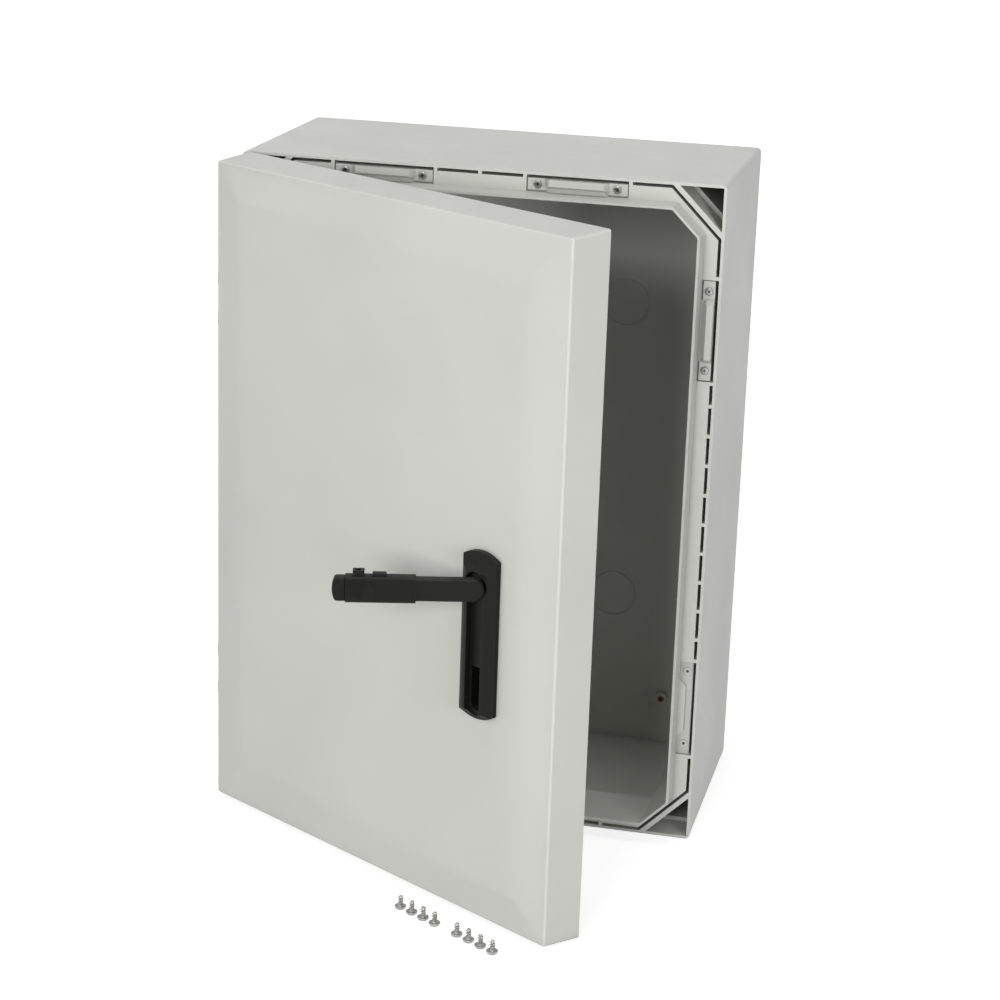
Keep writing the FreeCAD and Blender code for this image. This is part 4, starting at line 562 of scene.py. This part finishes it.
# Share of the flange's radius, and height in millimetres.
FLANGED_HEAD = ((0.66, 0.0), (0.80, 0.3), (0.90, 1.0), (0.95, 1.8), (0.99, 2.1), (1.0, 2.6),
                (0.98, 3.0), (0.92, 3.2), (0.84, 3.15), (0.60, 2.75), (0.48, 2.8), (0.40, 3.3))


def threaded_screw():
    """Fixing screw that stands on its wide head: flanged head, coarse thread and blunt tip."""
    mesh = bmesh.new()
    steps, rows = 28, 62
    profile = [(FLANGE_RADIUS * share, height * MM) for share, height in FLANGED_HEAD]
    profile.append((CORE_RADIUS * 1.25, THREAD_START))
    rings = [ring(mesh, radius, height, steps) for radius, height in profile]
    lowest = THREAD_START + THREAD_LEAD
    for row in range(rows + 1):
        height = lowest + (SCREW_TOP - THREAD_START - THREAD_LEAD) * row / rows
        fade = min(1.0, row / 6, (rows - row) / 12)
        blunt = min(1.0, 0.45 + (rows - row) / 9)
        verts = []
        for step in range(steps):
            phase = (height / THREAD_PITCH - step / steps) % 1.0
            tooth = max(0.0, 1.0 - abs(phase - 0.5) * 3.2)
            radius = CORE_RADIUS * blunt + (CREST_RADIUS - CORE_RADIUS) * tooth * fade
            angle = math.tau * step / steps
            verts.append(mesh.verts.new((radius * math.cos(angle), radius * math.sin(angle),
                                         height)))
        rings.append(verts)
    mesh.faces.new(rings[0])
    for first, second in zip(rings, rings[1:]):
        bridge(mesh, first, second)
    mesh.faces.new(rings[-1])
    return finish_mesh(mesh, "threaded_screw", sharp=50.0)


def add_fixing_screws(name):
    """The eight loose screws with their thread, each turned at random on its head."""
    template = threaded_screw()
    chance = random.Random(11)
    places = []
    for low, high in solid_boxes("fixing_screws"):
        spot = Vector(((low.x + high.x) / 2, (low.y + high.y) / 2, low.z))
        turn = Matrix.Rotation(chance.uniform(0, math.tau), 4, "Z")
        places.append(Matrix.Translation(spot) @ turn)
    add_piece(name, copies(template, places, name), "door", "fixing_screws", "steel_fixings")


# Seal round the inner panel, in the closed door's axes.
SEAL_HALF_WIDTH = 227.2 * MM
SEAL_HALF_HEIGHT = 327.2 * MM
SEAL_CHAMFER = 26.7 * MM
SEAL_BEND = 8 * MM
BEAD_HALF = 2.8 * MM
BEAD_SEAT = 0.279
BEAD_CROWN = 0.2763


def rounded_path(corners, radius, spacing):
    """Closed path through the corners with round bends, as points about one spacing apart."""
    path = []
    count = len(corners)
    bend_steps = 6
    for number, corner in enumerate(corners):
        before = (corners[number - 1] - corner).normalized()
        after = (corners[(number + 1) % count] - corner).normalized()
        cut = radius / math.tan(before.angle(after) / 2)
        first, last = corner + before * cut, corner + after * cut
        for step in range(bend_steps + 1):
            share = step / bend_steps
            path.append(first * (1 - share) ** 2 + corner * 2 * share * (1 - share)
                        + last * share ** 2)
        following = corners[(number + 1) % count]
        back = (corner - following).normalized()
        onward = (corners[(number + 2) % count] - following).normalized()
        goal = following + back * (radius / math.tan(back.angle(onward) / 2))
        pieces = max(1, round((goal - last).length / spacing))
        path += [last.lerp(goal, step / pieces) for step in range(1, pieces)]
    return path


def add_seal_bead(name):
    """Foamed seal round the inner panel: a low dome that swells and sinks slightly."""
    corners = []
    for sign_x, sign_z in ((1, 1), (-1, 1), (-1, -1), (1, -1)):
        pair = [Vector((sign_x * SEAL_HALF_WIDTH, sign_z * (SEAL_HALF_HEIGHT - SEAL_CHAMFER))),
                Vector((sign_x * (SEAL_HALF_WIDTH - SEAL_CHAMFER), sign_z * SEAL_HALF_HEIGHT))]
        corners += pair if sign_x == sign_z else pair[::-1]
    path = rounded_path(corners, SEAL_BEND, 5 * MM)
    chance = random.Random(5)
    mesh = bmesh.new()
    rings = []
    count = len(path)
    dome_steps = 10
    for number, spot in enumerate(path):
        along = (path[(number + 1) % count] - path[number - 1]).normalized()
        across = Vector((along.y, -along.x))
        swell = 1.0 - 0.05 * chance.random()
        verts = []
        for step in range(dome_steps + 1):
            angle = math.pi * step / dome_steps
            side = spot + across * (BEAD_HALF * math.cos(angle))
            forward = BEAD_SEAT - (BEAD_SEAT - BEAD_CROWN) * swell * math.sin(angle) ** 0.7
            verts.append(mesh.verts.new(DOOR_PLACE @ Vector((side.x, -forward, side.y))))
        rings.append(verts)
    for number in range(count):
        bridge(mesh, rings[number], rings[(number + 1) % count])
    add_piece(name, finish_mesh(mesh, name, sharp=60.0), "door", "door_gasket", "foam_gasket")


add_crossed_screws("striker_screws_crossed", "striker_screws", "box", FRAME_SCREW)
add_crossed_screws("hinge_screws_crossed", "hinge_plate_screws", "box", FRAME_SCREW)
add_crossed_screws("liner_screws_crossed", "liner_screws", "door", PANEL_SCREW,
                   to_front=False, place=DOOR_PLACE)
add_fixing_screws("threaded_fixing_screws")
add_seal_bead("foamed_seal_bead")


# Studio

FLOOR_HALF = 30.0
FLOOR_GREY = (0.45, 0.45, 0.45, 1.0)
WHITE = (1.0, 1.0, 1.0, 1.0)
AMBIENT = 0.14

# Name, place, aim, side, power, and whether glossy surfaces mirror the lamp.
LAMPS = (
    ("key", (-0.45, -3.95, 0.9), (0.0, -0.2, 0.0), 1.5, 84.0, False),
    ("right_fill", (2.6, -3.1, 0.6), (0.0, -0.2, 0.0), 1.2, 54.0, False),
    ("overhead", (0.0, -0.7, 3.2), (0.0, 0.0, 0.0), 1.6, 37.0, True),
    ("rear_fill", (-1.0, 3.3, 2.3), (0.0, 0.0, 0.0), 1.6, 34.0, False),
    ("left_fill", (-3.6, -0.6, 0.8), (0.0, 0.0, 0.0), 1.4, 9.0, False),
)

# Camera at the photograph's place: a long lens, a little above and from the right.
# Its turns are the yaw, the pitch downwards and the roll, in degrees.
CAMERA_PLACE = (0.5881, -2.6989, 0.7827)
CAMERA_TURNS = (-12.794, 17.210, 1.952)
CAMERA_LENS = 91.1


def add_floor():
    """Pale floor that takes the object's shadow and turns white where the camera sees it."""
    mesh = bmesh.new()
    level = cad_box[0][2] - 0.0002
    mesh.faces.new([mesh.verts.new((x * FLOOR_HALF, y * FLOOR_HALF, level))
                    for x, y in ((-1, -1), (1, -1), (1, 1), (-1, 1))])
    data = bpy.data.meshes.new("floor")
    mesh.to_mesh(data)
    mesh.free()
    floor = bpy.data.objects.new("floor", data)
    bpy.context.scene.collection.objects.link(floor)

    material = bpy.data.materials.new("studio_floor")
    material.use_nodes = True
    material.node_tree.nodes.clear()
    recipe = Recipe(material.node_tree)
    matt = recipe.add("BsdfDiffuse", {"Color": FLOOR_GREY})
    from_middle = recipe.add("VectorMath", {0: recipe.place()}, operation="LENGTH")
    strength = recipe.spread(from_middle.outputs["Value"], 0.9, 2.6, 0.78, 1.0)
    glow = recipe.add("Emission", {
        "Color": WHITE, "Strength": recipe.math("MULTIPLY", recipe.seen_directly(), strength)})
    both = recipe.add("AddShader", {0: matt.outputs[0], 1: glow.outputs[0]})
    leave = recipe.add("OutputMaterial")
    recipe.join(both.outputs[0], leave.inputs["Surface"])
    data.materials.append(material)


def set_world():
    """White where it is seen, and only a faint light on the object."""
    world = bpy.data.worlds.new("studio")
    bpy.context.scene.world = world
    world.use_nodes = True
    world.node_tree.nodes.clear()
    recipe = Recipe(world.node_tree)
    strength = recipe.spread(recipe.seen_directly(), 0.0, 1.0, AMBIENT, 1.0)
    sky = recipe.add("Background", {"Color": WHITE, "Strength": strength})
    leave = recipe.add("OutputWorld")
    recipe.join(sky.outputs[0], leave.inputs["Surface"])


def add_lamp(name, place, aim, side, power, mirrored):
    light = bpy.data.lights.new(name, "AREA")
    light.shape = "SQUARE"
    light.size = side
    light.energy = power
    lamp = bpy.data.objects.new(name, light)
    lamp.location = place
    lamp.visible_glossy = mirrored
    lamp.rotation_euler = (Vector(aim) - Vector(place)).to_track_quat("-Z", "Y").to_euler()
    bpy.context.scene.collection.objects.link(lamp)


def add_camera():
    yaw, pitch, roll = (math.radians(angle) for angle in CAMERA_TURNS)
    forward = Vector((math.sin(yaw) * math.cos(pitch), math.cos(yaw) * math.cos(pitch),
                      -math.sin(pitch)))
    level = Vector((math.cos(yaw), -math.sin(yaw), 0.0))
    upward = level.cross(forward)
    right = level * math.cos(roll) + upward * math.sin(roll)
    top = upward * math.cos(roll) - level * math.sin(roll)
    turn = Matrix((right, top, -forward)).transposed()
    data = bpy.data.cameras.new("camera")
    data.lens = CAMERA_LENS
    data.sensor_width = 36.0
    data.clip_end = 200.0
    camera = bpy.data.objects.new("camera", data)
    camera.matrix_world = Matrix.Translation(CAMERA_PLACE) @ turn.to_4x4()
    bpy.context.scene.collection.objects.link(camera)
    bpy.context.scene.camera = camera


add_floor()
set_world()
for lamp in LAMPS:
    add_lamp(*lamp)
add_camera()
bpy.context.scene.view_settings.view_transform = "Standard"

bpy.context.view_layer.update()
